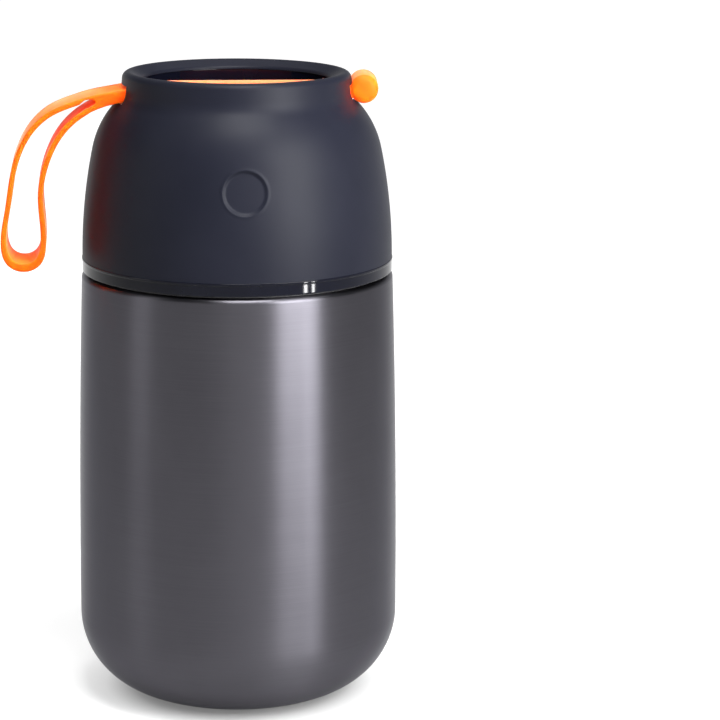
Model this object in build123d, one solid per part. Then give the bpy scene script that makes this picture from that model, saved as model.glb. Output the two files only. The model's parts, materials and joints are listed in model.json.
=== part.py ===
"""Insulated food jar: a double-walled steel vessel, a vented screw stopper and a bowl lid.

Frame: millimetres, +Z up, the origin at the centre of the face that the jar rests on.
+X runs through the lid's two strap slots towards the strap's toggle, and the roundel on
the lid faces -Y. The stopper and the lid unscrew with threads of one lead and one hand,
so every mix of their turns keeps each thread clear of the others.
"""

from build123d import *
from math import cos, radians, tan
import os

# ---------------------------------------------------------------- driving sizes, mm

# Steel body
TOTAL_HEIGHT = 205.0        # rest face to the crest of the lid's rim
LID_HEIGHT = 64.8           # flat of the body's shoulder to the crest of the lid's rim
BODY_TAPER = 1.9            # how much wider the body is above its bottom bend than at the shoulder
SHOULDER_STEP = 0.1         # shoulder outside the lid's gloss band
BOTTOM_BEND = 26.0          # outer radius of the bend between side and bottom
SHOULDER_EDGE = 1.6         # outer radius of the shoulder's edge
NECK_FOOT_BEND = 0.6        # inner radius of the bend between shoulder and neck
LIP_BEND = 0.9              # outer radius of the bend between neck and lip
SHEET = 0.6                 # steel sheet
BASE_LEDGE = 4.3            # flat of the shell's bottom round its opening, under the base plate
BASE_LAP = 2.4              # how far the base plate laps the shell's bottom
DIMPLE_RADIUS = 6.0         # evacuation dimple in the base plate
DIMPLE_DEPTH = 2.4
VENT_HOLE_RADIUS = 1.2      # evacuation hole, closed by the plug
PLUG_RADIUS = 3.0
PAD_PROUD = 0.6             # how far the pad stands below the steel
PAD_GAP = 0.5               # ring gap round the pad

# Inner vessel and neck
MOUTH_RADIUS = 35.0         # 70 mm clear opening; every other radius is stacked out from it
NECK_HEIGHT = 11.8          # shoulder to the steel lip
VACUUM_GAP = 4.0            # between the two sheets at the shoulder
VESSEL_FLOOR = 8.0          # rest face to the food space's floor
VESSEL_BEND = 21.0          # inside radius at the floor
VESSEL_SHOULDER_DROP = 9.0  # body shoulder down to where the vessel starts to narrow
VESSEL_SLOPE_RISE = 4.5     # height of the narrowing
GETTER_RADIUS = 6.0
GETTER_THICKNESS = 1.2
GETTER_OFFSET = 17.0

# Threads: one lead and one hand for both
THREAD_LEAD = 12.0
THREAD_STARTS = 2
LID_RIB_SWEEP = 140.0       # degrees that one rib runs, lid and collar
STOPPER_RIB_SWEEP = 95.0    # degrees that one rib runs, stopper and collar
THREAD_CLEARANCE = 0.5      # radial, crest to the facing wall
THREAD_SINK = 0.5           # how deep a rib is rooted in its wall

# Neck collar
COLLAR_BORE_STEP = 3.6      # mouth to the collar's inside wall, round the stopper's thread
COLLAR_LEDGE = 2.6          # collar's inside wall to the outside of the steel neck
COLLAR_WALL = 2.2           # steel neck to the collar's outside wall, under the lid's thread
COLLAR_TOP_RISE = 11.0      # steel lip to the top of the collar
COLLAR_THREAD_HEIGHT = 1.9  # radial height of the outer ribs
COLLAR_BORE_THREAD = 1.7    # radial height of the inner ribs
COLLAR_RIB_START = 6.8      # shoulder to the start of an outer rib's middle line
BORE_RIB_START = 6.5        # steel lip to the start of an inner rib's middle line
COLLAR_FOOT = 1.2           # bevel that clears the bend at the steel neck's foot
COLLAR_EDGE = 1.2           # rounding of the collar's top, outside
COLLAR_BORE_EDGE = 0.6      # rounding of the collar's top, inside
OUTER_RIB_BASE = 2.6        # axial width at the wall
OUTER_RIB_CREST = 1.4
INNER_RIB_BASE = 2.2
INNER_RIB_CREST = 1.2
GASKET_THICKNESS = 1.2

# Stopper
PLUG_CLEARANCE = 0.8        # radial, plug to mouth
PLUG_DEPTH = 22.0           # steel lip down to the plug's underside
STOPPER_WALL = 2.0
STOPPER_SEAL_THICKNESS = 1.7
SEAL_GAP = 0.25             # round each soft ring
FLANGE_LAP = 3.0            # how far the stopper's grip flange laps the collar
STOPPER_TOP_THICKNESS = 5.0
STOPPER_EDGE = 1.2          # rounding of the flange's top edge
STOPPER_LIFT_GAP = 0.6      # collar's top to the flange
GRIP_COUNT = 24
GRIP_RADIUS = 3.2
GRIP_DEPTH = 0.9
BASE_COVER_THICKNESS = 2.0

# Valve in the stopper
BUTTON_RADIUS = 11.0
BUTTON_PROUD = 2.4          # above the stopper's top
BUTTON_TRAVEL = 2.0
BUTTON_WALL = 1.6
BUTTON_EDGE = 1.2           # rounding of its top
BUTTON_SKIRT = 5.0          # stopper's top down to the skirt's edge
BEZEL_WIDTH = 2.4
BEZEL_PROUD = 0.8
RUNNING_GAP = 0.3           # round the button
WELL_ROOM = 4.0             # under the skirt of the pressed button
WELL_FLOOR = 2.0
STEM_RADIUS = 2.0
STEM_GAP = 0.4              # round the stem in its tube
TUBE_WALL = 1.4
VALVE_RADIUS = 6.0
VALVE_THICKNESS = 1.8
VALVE_GAP = 0.3
CLIP_RADIUS = 3.6
CLIP_THICKNESS = 1.0
STEM_TAIL = 0.5             # below the clip
SPRING_RADIUS = 5.6         # to the middle of the wire
SPRING_WIRE = 0.8
SPRING_TURNS = 4.0
SPRING_END_GAP = 0.3        # at each end of the spring

# Lid
LID_GAP = 0.8               # shoulder to the lid's bottom edge
BAND_HEIGHT = 4.2           # gloss band
BAND_STEP = 0.2             # band outside the soft-touch shell above it
BAND_WALL = 1.55            # round the groove for the lid's sealing ring
BAND_EDGE = 0.3             # rounding of the band's bottom edge
LID_KNEE_IN = 3.7           # lid's base in to the knee, where the dome starts to close in
LID_KNEE_DROP = 24.4        # rim crest down to the knee
LID_BROW_IN = 10.9          # lid's base in to the brow, where the dome meets the neck's blend
LID_BROW_DROP = 10.4
LID_NECK_IN = 12.9          # lid's base in to the foot of the neck
LID_RIM_IN = 0.3            # foot of the neck in to the rim, before its edge is rounded
LID_NECK_DROP = 8.0         # rim crest down to the foot of the neck
LID_NECK_BLEND = 5.0
RIM_EDGE = 2.6              # outer rounding of the rim
RIM_SLOPE = 18.0            # degrees that the rim falls inwards
RIM_INNER_EDGE = 0.5
LID_WALL = 2.0
RIM_WIDTH = 6.3             # rim's outside to the recess inside it
RECESS_WALL = 1.6
RECESS_LIP_DROP = 1.6       # rim crest down to the recess cup's top edge
RECESS_DEPTH = 15.0         # rim crest down to the recess's floor
RECESS_BEND = 3.0
RIM_FLESH = 3.4             # rim crest down to the rim's underside
LINER_WALL = 1.8
LINER_SIDE = 2.1            # wall behind the lid's thread
LINER_THREAD_HEIGHT = 1.8   # radial height of the lid's ribs
LINER_RIB_BASE = 2.4
LINER_RIB_CREST = 1.4
LINER_TOP_IN = 3.8          # lid's knee in to the liner's cone at its ceiling
LINER_BEND = 9.0
LINER_STRAIGHT = 11.0       # lid's edge to where the liner starts to close in
LID_SEAL_THICKNESS = 1.4
ROUNDEL_RADIUS = 7.2
ROUNDEL_SUNK = 0.45
ROUNDEL_DROP = 32.2         # rim crest down to the roundel's centre

# Strap
STRAP_WIDTH = 20.0
STRAP_THICKNESS = 3.8
STRAP_DROP = 6.1            # rim crest down to the band's middle
SLOT_GAP = 0.45             # beside and above the band in its slots
SLOT_ROOM = 1.6             # below the band, for its drooping end
DROOP_PAST = 0.4            # recess's wall out to where the band starts to droop
DROOP_ANGLE = 6.0           # degrees
TOGGLE_RADIUS = 4.15
TOGGLE_LENGTH = 24.4
TOGGLE_RISE = 1.0           # toggle's axis above the band's middle
TOGGLE_SKEW = 7.0           # degrees about Z that the toggle lies askew
TOGGLE_SEAT_GAP = 0.3       # neck to toggle
TOGGLE_EDGE = 0.9
STRAP_ROOT_LENGTH = 5.0     # outside the neck, before the loop
LOOP_GAP = 0.3              # between band and loop
LOOP_LEG = 1.7              # leg thickness
LOOP_BEND_THICKNESS = 2.6   # at the bottom bend
LOOP_REACH = 30.6           # root to the far leg's middle line
LOOP_DROP = 53.4            # root down to the bottom bend's middle line
LOOP_BEND_WIDTH = 12.6      # between the legs' middle lines at the bottom bend
LOOP_STEPS = 40             # points along the legs that carry the thickness
LOOP_BEND_RISE = 7.6        # lowest point up to where the legs leave the bottom bend
LOOP_PINCH = 0.6            # how much the near leg leans to the far one above the bend
LOOP_NECK_RISE = 22.9       # lowest point up to the near leg's lean
STRAP_EDGE = 0.4

SKIN_GAP = 0.2              # between shells of one body that don't touch
CUT_PAST = 0.5              # how far a cut runs past the faces that it opens

# ---------------------------------------------------------------- worked-out places

collar_bore = MOUTH_RADIUS + COLLAR_BORE_STEP
neck_radius = collar_bore + COLLAR_LEDGE
collar_radius = neck_radius + COLLAR_WALL
collar_crest = collar_radius + COLLAR_THREAD_HEIGHT
liner_bore = collar_crest + THREAD_CLEARANCE
liner_radius = liner_bore + LINER_SIDE
lid_base_radius = liner_radius + SKIN_GAP + LID_WALL
band_radius = lid_base_radius + BAND_STEP
shoulder_radius = band_radius + SHOULDER_STEP
body_radius = shoulder_radius + BODY_TAPER

steel_bottom = PAD_PROUD
plate_bottom = steel_bottom + SHEET
base_opening_radius = body_radius - BOTTOM_BEND - BASE_LEDGE
shoulder_z = TOTAL_HEIGHT - LID_HEIGHT
lip_z = shoulder_z + NECK_HEIGHT
vessel_outer_radius = shoulder_radius - SHEET - VACUUM_GAP
vessel_radius = vessel_outer_radius - SHEET
mouth_outer_radius = MOUTH_RADIUS + SHEET
vessel_shoulder_z = shoulder_z - VESSEL_SHOULDER_DROP
vessel_neck_z = vessel_shoulder_z + VESSEL_SLOPE_RISE

half_pitch = THREAD_LEAD / THREAD_STARTS / 2
collar_top_z = lip_z + COLLAR_TOP_RISE
gasket_inner = collar_bore + SKIN_GAP
bore_crest = collar_bore - COLLAR_BORE_THREAD

stopper_thread_wall = bore_crest - THREAD_CLEARANCE
stopper_crest = collar_bore - THREAD_CLEARANCE
plug_radius = MOUTH_RADIUS - PLUG_CLEARANCE
stopper_top_radius = collar_bore + FLANGE_LAP
plug_bottom_z = lip_z - PLUG_DEPTH
stopper_seal_bottom = lip_z + SEAL_GAP
stopper_seal_top = stopper_seal_bottom + STOPPER_SEAL_THICKNESS
stopper_step_z = stopper_seal_top + SEAL_GAP
flange_bottom_z = collar_top_z + STOPPER_LIFT_GAP
stopper_top_z = flange_bottom_z + STOPPER_TOP_THICKNESS
well_radius = BUTTON_RADIUS + RUNNING_GAP
skirt_bottom_z = stopper_top_z - BUTTON_SKIRT
well_floor_z = skirt_bottom_z - BUTTON_TRAVEL - WELL_ROOM
tube_bore = STEM_RADIUS + STEM_GAP
tube_radius = tube_bore + TUBE_WALL
cover_top_z = plug_bottom_z + BASE_COVER_THICKNESS
button_top_z = stopper_top_z + BUTTON_PROUD
button_roof_z = button_top_z - BUTTON_WALL
valve_top_z = plug_bottom_z - VALVE_GAP
valve_bottom_z = valve_top_z - VALVE_THICKNESS

knee_radius = lid_base_radius - LID_KNEE_IN
brow_radius = lid_base_radius - LID_BROW_IN
lid_neck_radius = lid_base_radius - LID_NECK_IN
rim_radius = lid_neck_radius - LID_RIM_IN
recess_radius = rim_radius - RIM_WIDTH
liner_top_radius = knee_radius - LINER_TOP_IN
lid_seal_radius = band_radius - BAND_WALL - SEAL_GAP
lid_edge_z = shoulder_z + LID_GAP
band_top_z = lid_edge_z + BAND_HEIGHT
knee_z = TOTAL_HEIGHT - LID_KNEE_DROP
brow_z = TOTAL_HEIGHT - LID_BROW_DROP
neck_foot_z = TOTAL_HEIGHT - LID_NECK_DROP
rim_tan = tan(radians(RIM_SLOPE))
rim_corner_z = TOTAL_HEIGHT + RIM_EDGE * (rim_tan + 1 / cos(radians(RIM_SLOPE)) - 1)
rim_inner_z = rim_corner_z - (rim_radius - recess_radius) * rim_tan
recess_top_z = TOTAL_HEIGHT - RECESS_LIP_DROP
recess_floor_z = TOTAL_HEIGHT - RECESS_DEPTH
liner_top_z = recess_floor_z - RECESS_WALL
lid_seal_bottom = shoulder_z + SEAL_GAP
lid_seal_top = lid_seal_bottom + LID_SEAL_THICKNESS
roundel_z = TOTAL_HEIGHT - ROUNDEL_DROP
strap_z = TOTAL_HEIGHT - STRAP_DROP
droop_start = recess_radius + DROOP_PAST
toggle_x = lid_neck_radius + TOGGLE_SEAT_GAP + TOGGLE_RADIUS
root_x = -(lid_neck_radius + STRAP_ROOT_LENGTH)
root_z = strap_z - (-root_x - droop_start) * tan(radians(DROOP_ANGLE))
nose_radius = STRAP_THICKNESS / 2
nose_x = root_x - LOOP_GAP - nose_radius

# ---------------------------------------------------------------- helpers


def turned(*edges):
    """Solid of revolution about Z of a closed outline, X as radius and Y as height."""
    return revolve(Plane.XZ * make_face(Wire(list(edges))), axis=Axis.Z)


def turned_points(points, bends=0):
    """Solid of revolution of a closed polygon, with one bend radius for each corner."""
    if bends == 0:
        return turned(*Polyline(*points, close=True).edges())
    return turned(*FilletPolyline(*points, radius=bends, close=True).edges())


def tube(inner, outer, bottom, top):
    """Plain ring about Z between two radii and two heights."""
    return turned_points([(inner, bottom), (outer, bottom), (outer, top), (inner, top)])


def disc(radius, bottom, top):
    """Plain disc about Z."""
    return Pos(0, 0, (bottom + top) / 2) * Cylinder(radius, top - bottom)


def thread_ribs(wall, height, base, crest, start_z, sweep_angle):
    """Helical ribs of the common lead on a wall; a negative height points inwards."""
    sense = 1 if height > 0 else -1
    foot = wall - sense * THREAD_SINK
    half_foot = base / 2 + (base - crest) / 2 * THREAD_SINK / abs(height)
    outline = [
        (foot, -half_foot),
        (wall + height, -crest / 2),
        (wall + height, crest / 2),
        (foot, half_foot),
    ]
    path = Helix(THREAD_LEAD, THREAD_LEAD * sweep_angle / 360, wall)
    profile = Plane.XZ * make_face(Polyline(*outline, close=True))
    rib = sweep(profile, path=path, normal=(0, 0, 1))
    return [Pos(0, 0, start_z) * Rot(0, 0, 360 / THREAD_STARTS * n) * rib for n in range(THREAD_STARTS)]


parts = {}

# ---------------------------------------------------------------- steel body


def shell_side(inset):
    """Edges of the shell's side from the bottom bend's foot to the shoulder edge's top."""
    bend = BOTTOM_BEND - inset
    bend_centre = (body_radius - BOTTOM_BEND, steel_bottom + BOTTOM_BEND)
    edge = SHOULDER_EDGE - inset
    edge_centre = (shoulder_radius - SHOULDER_EDGE, shoulder_z - SHOULDER_EDGE)
    bend_arc = CenterArc(bend_centre, bend, 270, 90)
    flare = TangentArc(bend_arc @ 1, (edge_centre[0] + edge, edge_centre[1]), tangent=(0, 1))
    edge_arc = CenterArc(edge_centre, edge, 0, 90)
    return bend_arc, flare, edge_arc


def make_outer_shell():
    """Sheet from the base opening round the bend, up the side and neck to the lip."""
    outside = shell_side(0)
    inside = shell_side(SHEET)
    neck_outside = FilletPolyline(
        outside[2] @ 1,
        (neck_radius, shoulder_z),
        (neck_radius, lip_z),
        (mouth_outer_radius, lip_z),
        radius=[NECK_FOOT_BEND, LIP_BEND],
    )
    neck_inside = FilletPolyline(
        (mouth_outer_radius, lip_z - SHEET),
        (neck_radius - SHEET, lip_z - SHEET),
        (neck_radius - SHEET, shoulder_z - SHEET),
        inside[2] @ 1,
        radius=[LIP_BEND - SHEET, NECK_FOOT_BEND + SHEET],
    )
    bottom = Line((base_opening_radius, steel_bottom), outside[0] @ 0)
    lip_end = Line(neck_outside @ 1, neck_inside @ 0)
    bottom_inside = Line(inside[0] @ 0, (base_opening_radius, steel_bottom + SHEET))
    opening = Line(bottom_inside @ 1, bottom @ 0)
    return turned(
        bottom, *outside, *neck_outside.edges(), lip_end, *neck_inside.edges(),
        *inside[::-1], bottom_inside, opening,
    )


def make_inner_vessel():
    """Food space: a straight wall that narrows to the mouth, open at the top."""
    outside = FilletPolyline(
        (0, VESSEL_FLOOR - SHEET),
        (vessel_outer_radius, VESSEL_FLOOR - SHEET),
        (vessel_outer_radius, vessel_shoulder_z + SHEET / 2),
        (mouth_outer_radius, vessel_neck_z + SHEET / 2),
        (mouth_outer_radius, lip_z),
        radius=[VESSEL_BEND + SHEET, VESSEL_SLOPE_RISE + SHEET, VESSEL_SLOPE_RISE],
    )
    inside = FilletPolyline(
        (MOUTH_RADIUS, lip_z),
        (MOUTH_RADIUS, vessel_neck_z),
        (vessel_radius, vessel_shoulder_z),
        (vessel_radius, VESSEL_FLOOR),
        (0, VESSEL_FLOOR),
        radius=[VESSEL_SLOPE_RISE + SHEET, VESSEL_SLOPE_RISE, VESSEL_BEND],
    )
    lip = Line(outside @ 1, inside @ 0)
    axis = Line(inside @ 1, outside @ 0)
    return turned(*outside.edges(), lip, *inside.edges(), axis)


def make_base_plate():
    """Disc lapped inside the shell's bottom, with the evacuation dimple and its hole."""
    rim = base_opening_radius + BASE_LAP
    roof = plate_bottom + DIMPLE_DEPTH
    return turned_points([
        (DIMPLE_RADIUS, plate_bottom),
        (rim, plate_bottom),
        (rim, plate_bottom + SHEET),
        (DIMPLE_RADIUS + SHEET, plate_bottom + SHEET),
        (DIMPLE_RADIUS + SHEET, roof + SHEET),
        (VENT_HOLE_RADIUS, roof + SHEET),
        (VENT_HOLE_RADIUS, roof),
        (DIMPLE_RADIUS, roof),
    ])


def make_vacuum_plug():
    """Solder button that fills the evacuation hole from below."""
    roof = plate_bottom + DIMPLE_DEPTH
    head = disc(PLUG_RADIUS, roof - SHEET, roof)
    head = fillet(head.edges().sort_by(Axis.Z)[0], SHEET / 2)
    return head + disc(VENT_HOLE_RADIUS, roof, roof + SHEET)


def make_base_pad():
    """Rubber disc under the base plate; its underside is the face the jar rests on."""
    pad = disc(base_opening_radius - PAD_GAP, 0, plate_bottom)
    return chamfer(pad.edges().sort_by(Axis.Z)[0], PAD_PROUD / 2)


parts["outer_shell"] = make_outer_shell()
parts["inner_vessel"] = make_inner_vessel()
parts["base_plate"] = make_base_plate()
parts["vacuum_plug"] = make_vacuum_plug()
parts["base_pad"] = make_base_pad()
parts["getter"] = Pos(GETTER_OFFSET, 0, 0) * disc(
    GETTER_RADIUS, VESSEL_FLOOR - SHEET - GETTER_THICKNESS, VESSEL_FLOOR - SHEET
)

# ---------------------------------------------------------------- neck collar

parts["collar_gasket"] = tube(gasket_inner, neck_radius - LIP_BEND, lip_z, lip_z + GASKET_THICKNESS)


def make_neck_collar():
    """Plastic ring round the steel neck: lid thread outside, stopper thread inside."""
    ring = turned_points(
        [
            (neck_radius + COLLAR_FOOT, shoulder_z),
            (collar_radius, shoulder_z),
            (collar_radius, collar_top_z),
            (collar_bore, collar_top_z),
            (collar_bore, lip_z + GASKET_THICKNESS),
            (neck_radius, lip_z + GASKET_THICKNESS),
            (neck_radius, shoulder_z + COLLAR_FOOT),
        ],
        bends=[0, 0, COLLAR_EDGE, COLLAR_BORE_EDGE, 0, 0, 0],
    )
    outer_ribs = thread_ribs(
        collar_radius, COLLAR_THREAD_HEIGHT, OUTER_RIB_BASE, OUTER_RIB_CREST,
        shoulder_z + COLLAR_RIB_START, LID_RIB_SWEEP,
    )
    inner_ribs = thread_ribs(
        collar_bore, -COLLAR_BORE_THREAD, INNER_RIB_BASE, INNER_RIB_CREST,
        lip_z + BORE_RIB_START, STOPPER_RIB_SWEEP,
    )
    return ring + outer_ribs + inner_ribs


parts["neck_collar"] = make_neck_collar()

# ---------------------------------------------------------------- stopper


def make_stopper_body():
    """Threaded cup with a grip flange, a well for the button and a tube for the stem."""
    cup = turned_points([
        (plug_radius, plug_bottom_z),
        (plug_radius, stopper_step_z),
        (stopper_thread_wall, stopper_step_z),
        (stopper_thread_wall, flange_bottom_z),
        (stopper_top_radius, flange_bottom_z),
        (stopper_top_radius, stopper_top_z),
        (well_radius, stopper_top_z),
        (well_radius, well_floor_z),
        (tube_bore, well_floor_z),
        (tube_bore, cover_top_z),
        (tube_radius, cover_top_z),
        (tube_radius, well_floor_z - WELL_FLOOR),
        (well_radius + STOPPER_WALL, well_floor_z - WELL_FLOOR),
        (well_radius + STOPPER_WALL, stopper_top_z - STOPPER_WALL),
        (plug_radius - STOPPER_WALL, stopper_top_z - STOPPER_WALL),
        (plug_radius - STOPPER_WALL, plug_bottom_z),
    ])
    top_edge = cup.edges().filter_by(GeomType.CIRCLE).group_by(Axis.Z)[-1].sort_by(SortBy.LENGTH)[-1]
    cup = fillet(top_edge, STOPPER_EDGE)
    ribs = thread_ribs(
        stopper_thread_wall, stopper_crest - stopper_thread_wall, INNER_RIB_BASE, INNER_RIB_CREST,
        lip_z + BORE_RIB_START - half_pitch, STOPPER_RIB_SWEEP,
    )
    groove_x = stopper_top_radius + GRIP_RADIUS - GRIP_DEPTH
    groove = Pos(groove_x, 0, stopper_top_z - STOPPER_TOP_THICKNESS / 2) * Cylinder(
        GRIP_RADIUS, STOPPER_TOP_THICKNESS + 2 * CUT_PAST
    )
    grooves = [Rot(0, 0, 360 / GRIP_COUNT * n) * groove for n in range(GRIP_COUNT)]
    return cup + ribs - grooves


parts["stopper_body"] = make_stopper_body()
parts["stopper_insulation"] = tube(
    tube_radius + SKIN_GAP, plug_radius - STOPPER_WALL - SKIN_GAP,
    cover_top_z, well_floor_z - WELL_FLOOR,
)
parts["stopper_base"] = tube(tube_bore, plug_radius - STOPPER_WALL, plug_bottom_z, cover_top_z)
parts["stopper_seal"] = tube(
    plug_radius + SEAL_GAP, bore_crest - SEAL_GAP, stopper_seal_bottom, stopper_seal_top
)
parts["button_bezel"] = tube(
    well_radius, well_radius + BEZEL_WIDTH, stopper_top_z, stopper_top_z + BEZEL_PROUD
)


def make_pressure_button():
    """Round cap with a skirt that runs in the well and a boss that holds the stem."""
    return turned_points(
        [
            (STEM_RADIUS, button_roof_z - BUTTON_WALL),
            (STEM_RADIUS + BUTTON_WALL, button_roof_z - BUTTON_WALL),
            (STEM_RADIUS + BUTTON_WALL, button_roof_z),
            (BUTTON_RADIUS - BUTTON_WALL, button_roof_z),
            (BUTTON_RADIUS - BUTTON_WALL, skirt_bottom_z),
            (BUTTON_RADIUS, skirt_bottom_z),
            (BUTTON_RADIUS, button_top_z),
            (0, button_top_z),
            (0, button_roof_z),
            (STEM_RADIUS, button_roof_z),
        ],
        bends=[0, 0, 0, 0, 0, 0, BUTTON_EDGE, 0, 0, 0],
    )


def make_valve_spring():
    """Coil between the well's floor and the button's roof."""
    low = well_floor_z + SPRING_WIRE / 2 + SPRING_END_GAP
    high = button_roof_z - SPRING_WIRE / 2 - SPRING_END_GAP
    coil = Helix((high - low) / SPRING_TURNS, high - low, SPRING_RADIUS)
    section = Plane(coil @ 0, z_dir=coil % 0) * Circle(SPRING_WIRE / 2)
    return Pos(0, 0, low) * sweep(section, path=coil, is_frenet=True)


parts["pressure_button"] = make_pressure_button()
parts["valve_stem"] = disc(STEM_RADIUS, valve_bottom_z - CLIP_THICKNESS - STEM_TAIL, button_roof_z)
parts["valve_seal"] = tube(STEM_RADIUS, VALVE_RADIUS, valve_bottom_z, valve_top_z)
parts["stem_clip"] = tube(STEM_RADIUS, CLIP_RADIUS, valve_bottom_z - CLIP_THICKNESS, valve_bottom_z)
parts["valve_spring"] = make_valve_spring()

# ---------------------------------------------------------------- lid


def dome(grow):
    """The lid's side from its base to the neck's foot, moved outwards by grow."""
    low = TangentArc(
        (lid_base_radius + grow, band_top_z), (knee_radius + grow, knee_z), tangent=(0, 1)
    )
    high = TangentArc(low @ 1, (brow_radius + grow, brow_z), tangent=low % 1)
    return low, high


def dome_solid(grow):
    """Solid inside the dome's side, to cut the roundel's bead and sunk face."""
    low, high = dome(grow)
    return turned(
        Line((0, band_top_z), low @ 0), low, high,
        Line(high @ 1, (0, brow_z)), Line((0, brow_z), (0, band_top_z)),
    )


def make_lid_shell():
    """Soft-touch shell: dome, neck and thick rim, slotted for the strap."""
    low, high = dome(0)
    inner_low, inner_high = dome(-LID_WALL)
    neck = FilletPolyline(
        high @ 1,
        (lid_neck_radius, neck_foot_z),
        (rim_radius, rim_corner_z),
        (recess_radius, rim_inner_z),
        (recess_radius, recess_top_z),
        radius=[LID_NECK_BLEND, RIM_EDGE, RIM_INNER_EDGE],
    )
    under_rim = Polyline(
        neck @ 1,
        (recess_radius + RECESS_WALL + SKIN_GAP, recess_top_z),
        (recess_radius + RECESS_WALL + SKIN_GAP, TOTAL_HEIGHT - RIM_FLESH),
        (rim_radius - LID_WALL, TOTAL_HEIGHT - RIM_FLESH),
        (lid_neck_radius - LID_WALL, neck_foot_z - LID_WALL / 2),
        inner_high @ 1,
    )
    shell = turned(
        low, high, *neck.edges(), *under_rim.edges(), inner_high, inner_low,
        Line(inner_low @ 0, low @ 0),
    )
    spot = Pos(0, -lid_base_radius / 2, roundel_z) * Rot(90, 0, 0)
    sunk = spot * Cylinder(ROUNDEL_RADIUS, lid_base_radius) - dome_solid(-ROUNDEL_SUNK)
    return shell - sunk - strap_slots()


def strap_slots():
    """Straight slot for the band through both sides of the neck."""
    top = strap_z + STRAP_THICKNESS / 2 + SLOT_GAP
    bottom = strap_z - STRAP_THICKNESS / 2 - SLOT_ROOM
    return Pos(0, 0, (top + bottom) / 2) * Box(
        2 * lid_base_radius, STRAP_WIDTH + 2 * SLOT_GAP, top - bottom
    )


def make_recess_cup():
    """Gloss cup inside the rim, slotted in line with the neck."""
    outer = recess_radius + RECESS_WALL
    cup = turned_points(
        [
            (0, recess_floor_z - RECESS_WALL),
            (outer, recess_floor_z - RECESS_WALL),
            (outer, recess_top_z),
            (recess_radius, recess_top_z),
            (recess_radius, recess_floor_z),
            (0, recess_floor_z),
        ],
        bends=[0, RECESS_WALL, 0, 0, RECESS_BEND, 0],
    )
    return cup - strap_slots()


def make_bowl_liner():
    """Bowl inside the lid: the gloss band, the thread, the cone and the ceiling."""
    outside = FilletPolyline(
        (band_radius, lid_edge_z),
        (band_radius, band_top_z),
        (liner_radius, band_top_z),
        (liner_radius, lid_edge_z + LINER_STRAIGHT),
        (liner_top_radius, liner_top_z),
        (0, liner_top_z),
        radius=[BAND_EDGE, 0, 0, LINER_BEND],
    )
    ceiling = liner_top_z - LINER_WALL
    inside = FilletPolyline(
        (0, ceiling),
        (liner_top_radius - LINER_WALL, ceiling),
        (liner_bore, lid_edge_z + LINER_STRAIGHT),
        (liner_bore, lid_seal_top + SEAL_GAP),
        (lid_seal_radius + SEAL_GAP, lid_seal_top + SEAL_GAP),
        (lid_seal_radius + SEAL_GAP, lid_edge_z),
        radius=[LINER_BEND - LINER_WALL, 0, 0, 0],
    )
    bowl = turned(
        *outside.edges(), Line(outside @ 1, inside @ 0), *inside.edges(), Line(inside @ 1, outside @ 0)
    )
    ribs = thread_ribs(
        liner_bore, -LINER_THREAD_HEIGHT, LINER_RIB_BASE, LINER_RIB_CREST,
        shoulder_z + COLLAR_RIB_START - half_pitch, LID_RIB_SWEEP,
    )
    return bowl + ribs


parts["lid_seal"] = tube(liner_bore, lid_seal_radius, lid_seal_bottom, lid_seal_top)
parts["lid_shell"] = make_lid_shell()
parts["recess_cup"] = make_recess_cup()
parts["bowl_liner"] = make_bowl_liner()

# ---------------------------------------------------------------- strap


def cut_to_width(face):
    """The strap's side outline, drawn in X and Z, given the strap's width and soft edges."""
    slab = extrude(Plane.XZ * face, STRAP_WIDTH / 2, both=True)
    sides = slab.faces().filter_by(Axis.Y)
    return fillet([edge for side in sides for edge in side.edges()], STRAP_EDGE)


def make_strap_band():
    """Flat band through the slots with the T-bar toggle moulded on its +X end."""
    half = STRAP_THICKNESS / 2
    droop = tan(radians(DROOP_ANGLE))
    outline = [
        (toggle_x, strap_z + half),
        (-droop_start, strap_z + half),
        (root_x, root_z + half),
        (root_x, root_z - half),
        (-droop_start - half * droop, strap_z - half),
        (toggle_x, strap_z - half),
    ]
    band = cut_to_width(make_face(Polyline(*outline, close=True)))
    toggle = Rot(90, 0, 0) * Cylinder(TOGGLE_RADIUS, TOGGLE_LENGTH)
    toggle = fillet(toggle.edges().filter_by(GeomType.CIRCLE), TOGGLE_EDGE)
    return band + Pos(toggle_x, 0, strap_z + TOGGLE_RISE) * Rot(0, 0, -TOGGLE_SKEW) * toggle


def loop_middle_line():
    """Middle line of the loop's legs; the legs' points are shares of its reach and drop."""
    outer_leg = [
        (0.284, 0.028), (0.51, 0.081), (0.68, 0.170), (0.797, 0.303), (0.889, 0.481), (0.951, 0.663),
    ]
    inner_leg = [(0.539, 0.397), (0.382, 0.225), (0.186, 0.109), (0.069, 0.064)]
    bend = LOOP_BEND_WIDTH / 2
    far_x = nose_x - LOOP_REACH
    low_z = root_z - LOOP_DROP
    corner = bend * (1 - cos(radians(45)))
    places = [(nose_x, root_z + nose_radius / 3)]
    places += [(nose_x - LOOP_REACH * x, root_z - LOOP_DROP * z) for x, z in outer_leg]
    places += [
        (far_x, low_z + LOOP_BEND_RISE),
        (far_x + corner, low_z + corner),
        (far_x + bend, low_z),
        (far_x + 2 * bend - corner, low_z + corner),
        (far_x + 2 * bend, low_z + LOOP_BEND_RISE),
        (far_x + 2 * bend - LOOP_PINCH, low_z + LOOP_NECK_RISE),
    ]
    places += [(nose_x - LOOP_REACH * x, root_z - LOOP_DROP * z) for x, z in inner_leg]
    places += [(nose_x + nose_radius / 3, root_z - nose_radius / 2)]
    return Spline(*places, tangents=[(-1, -0.08), (1, 0.85)])


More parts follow.
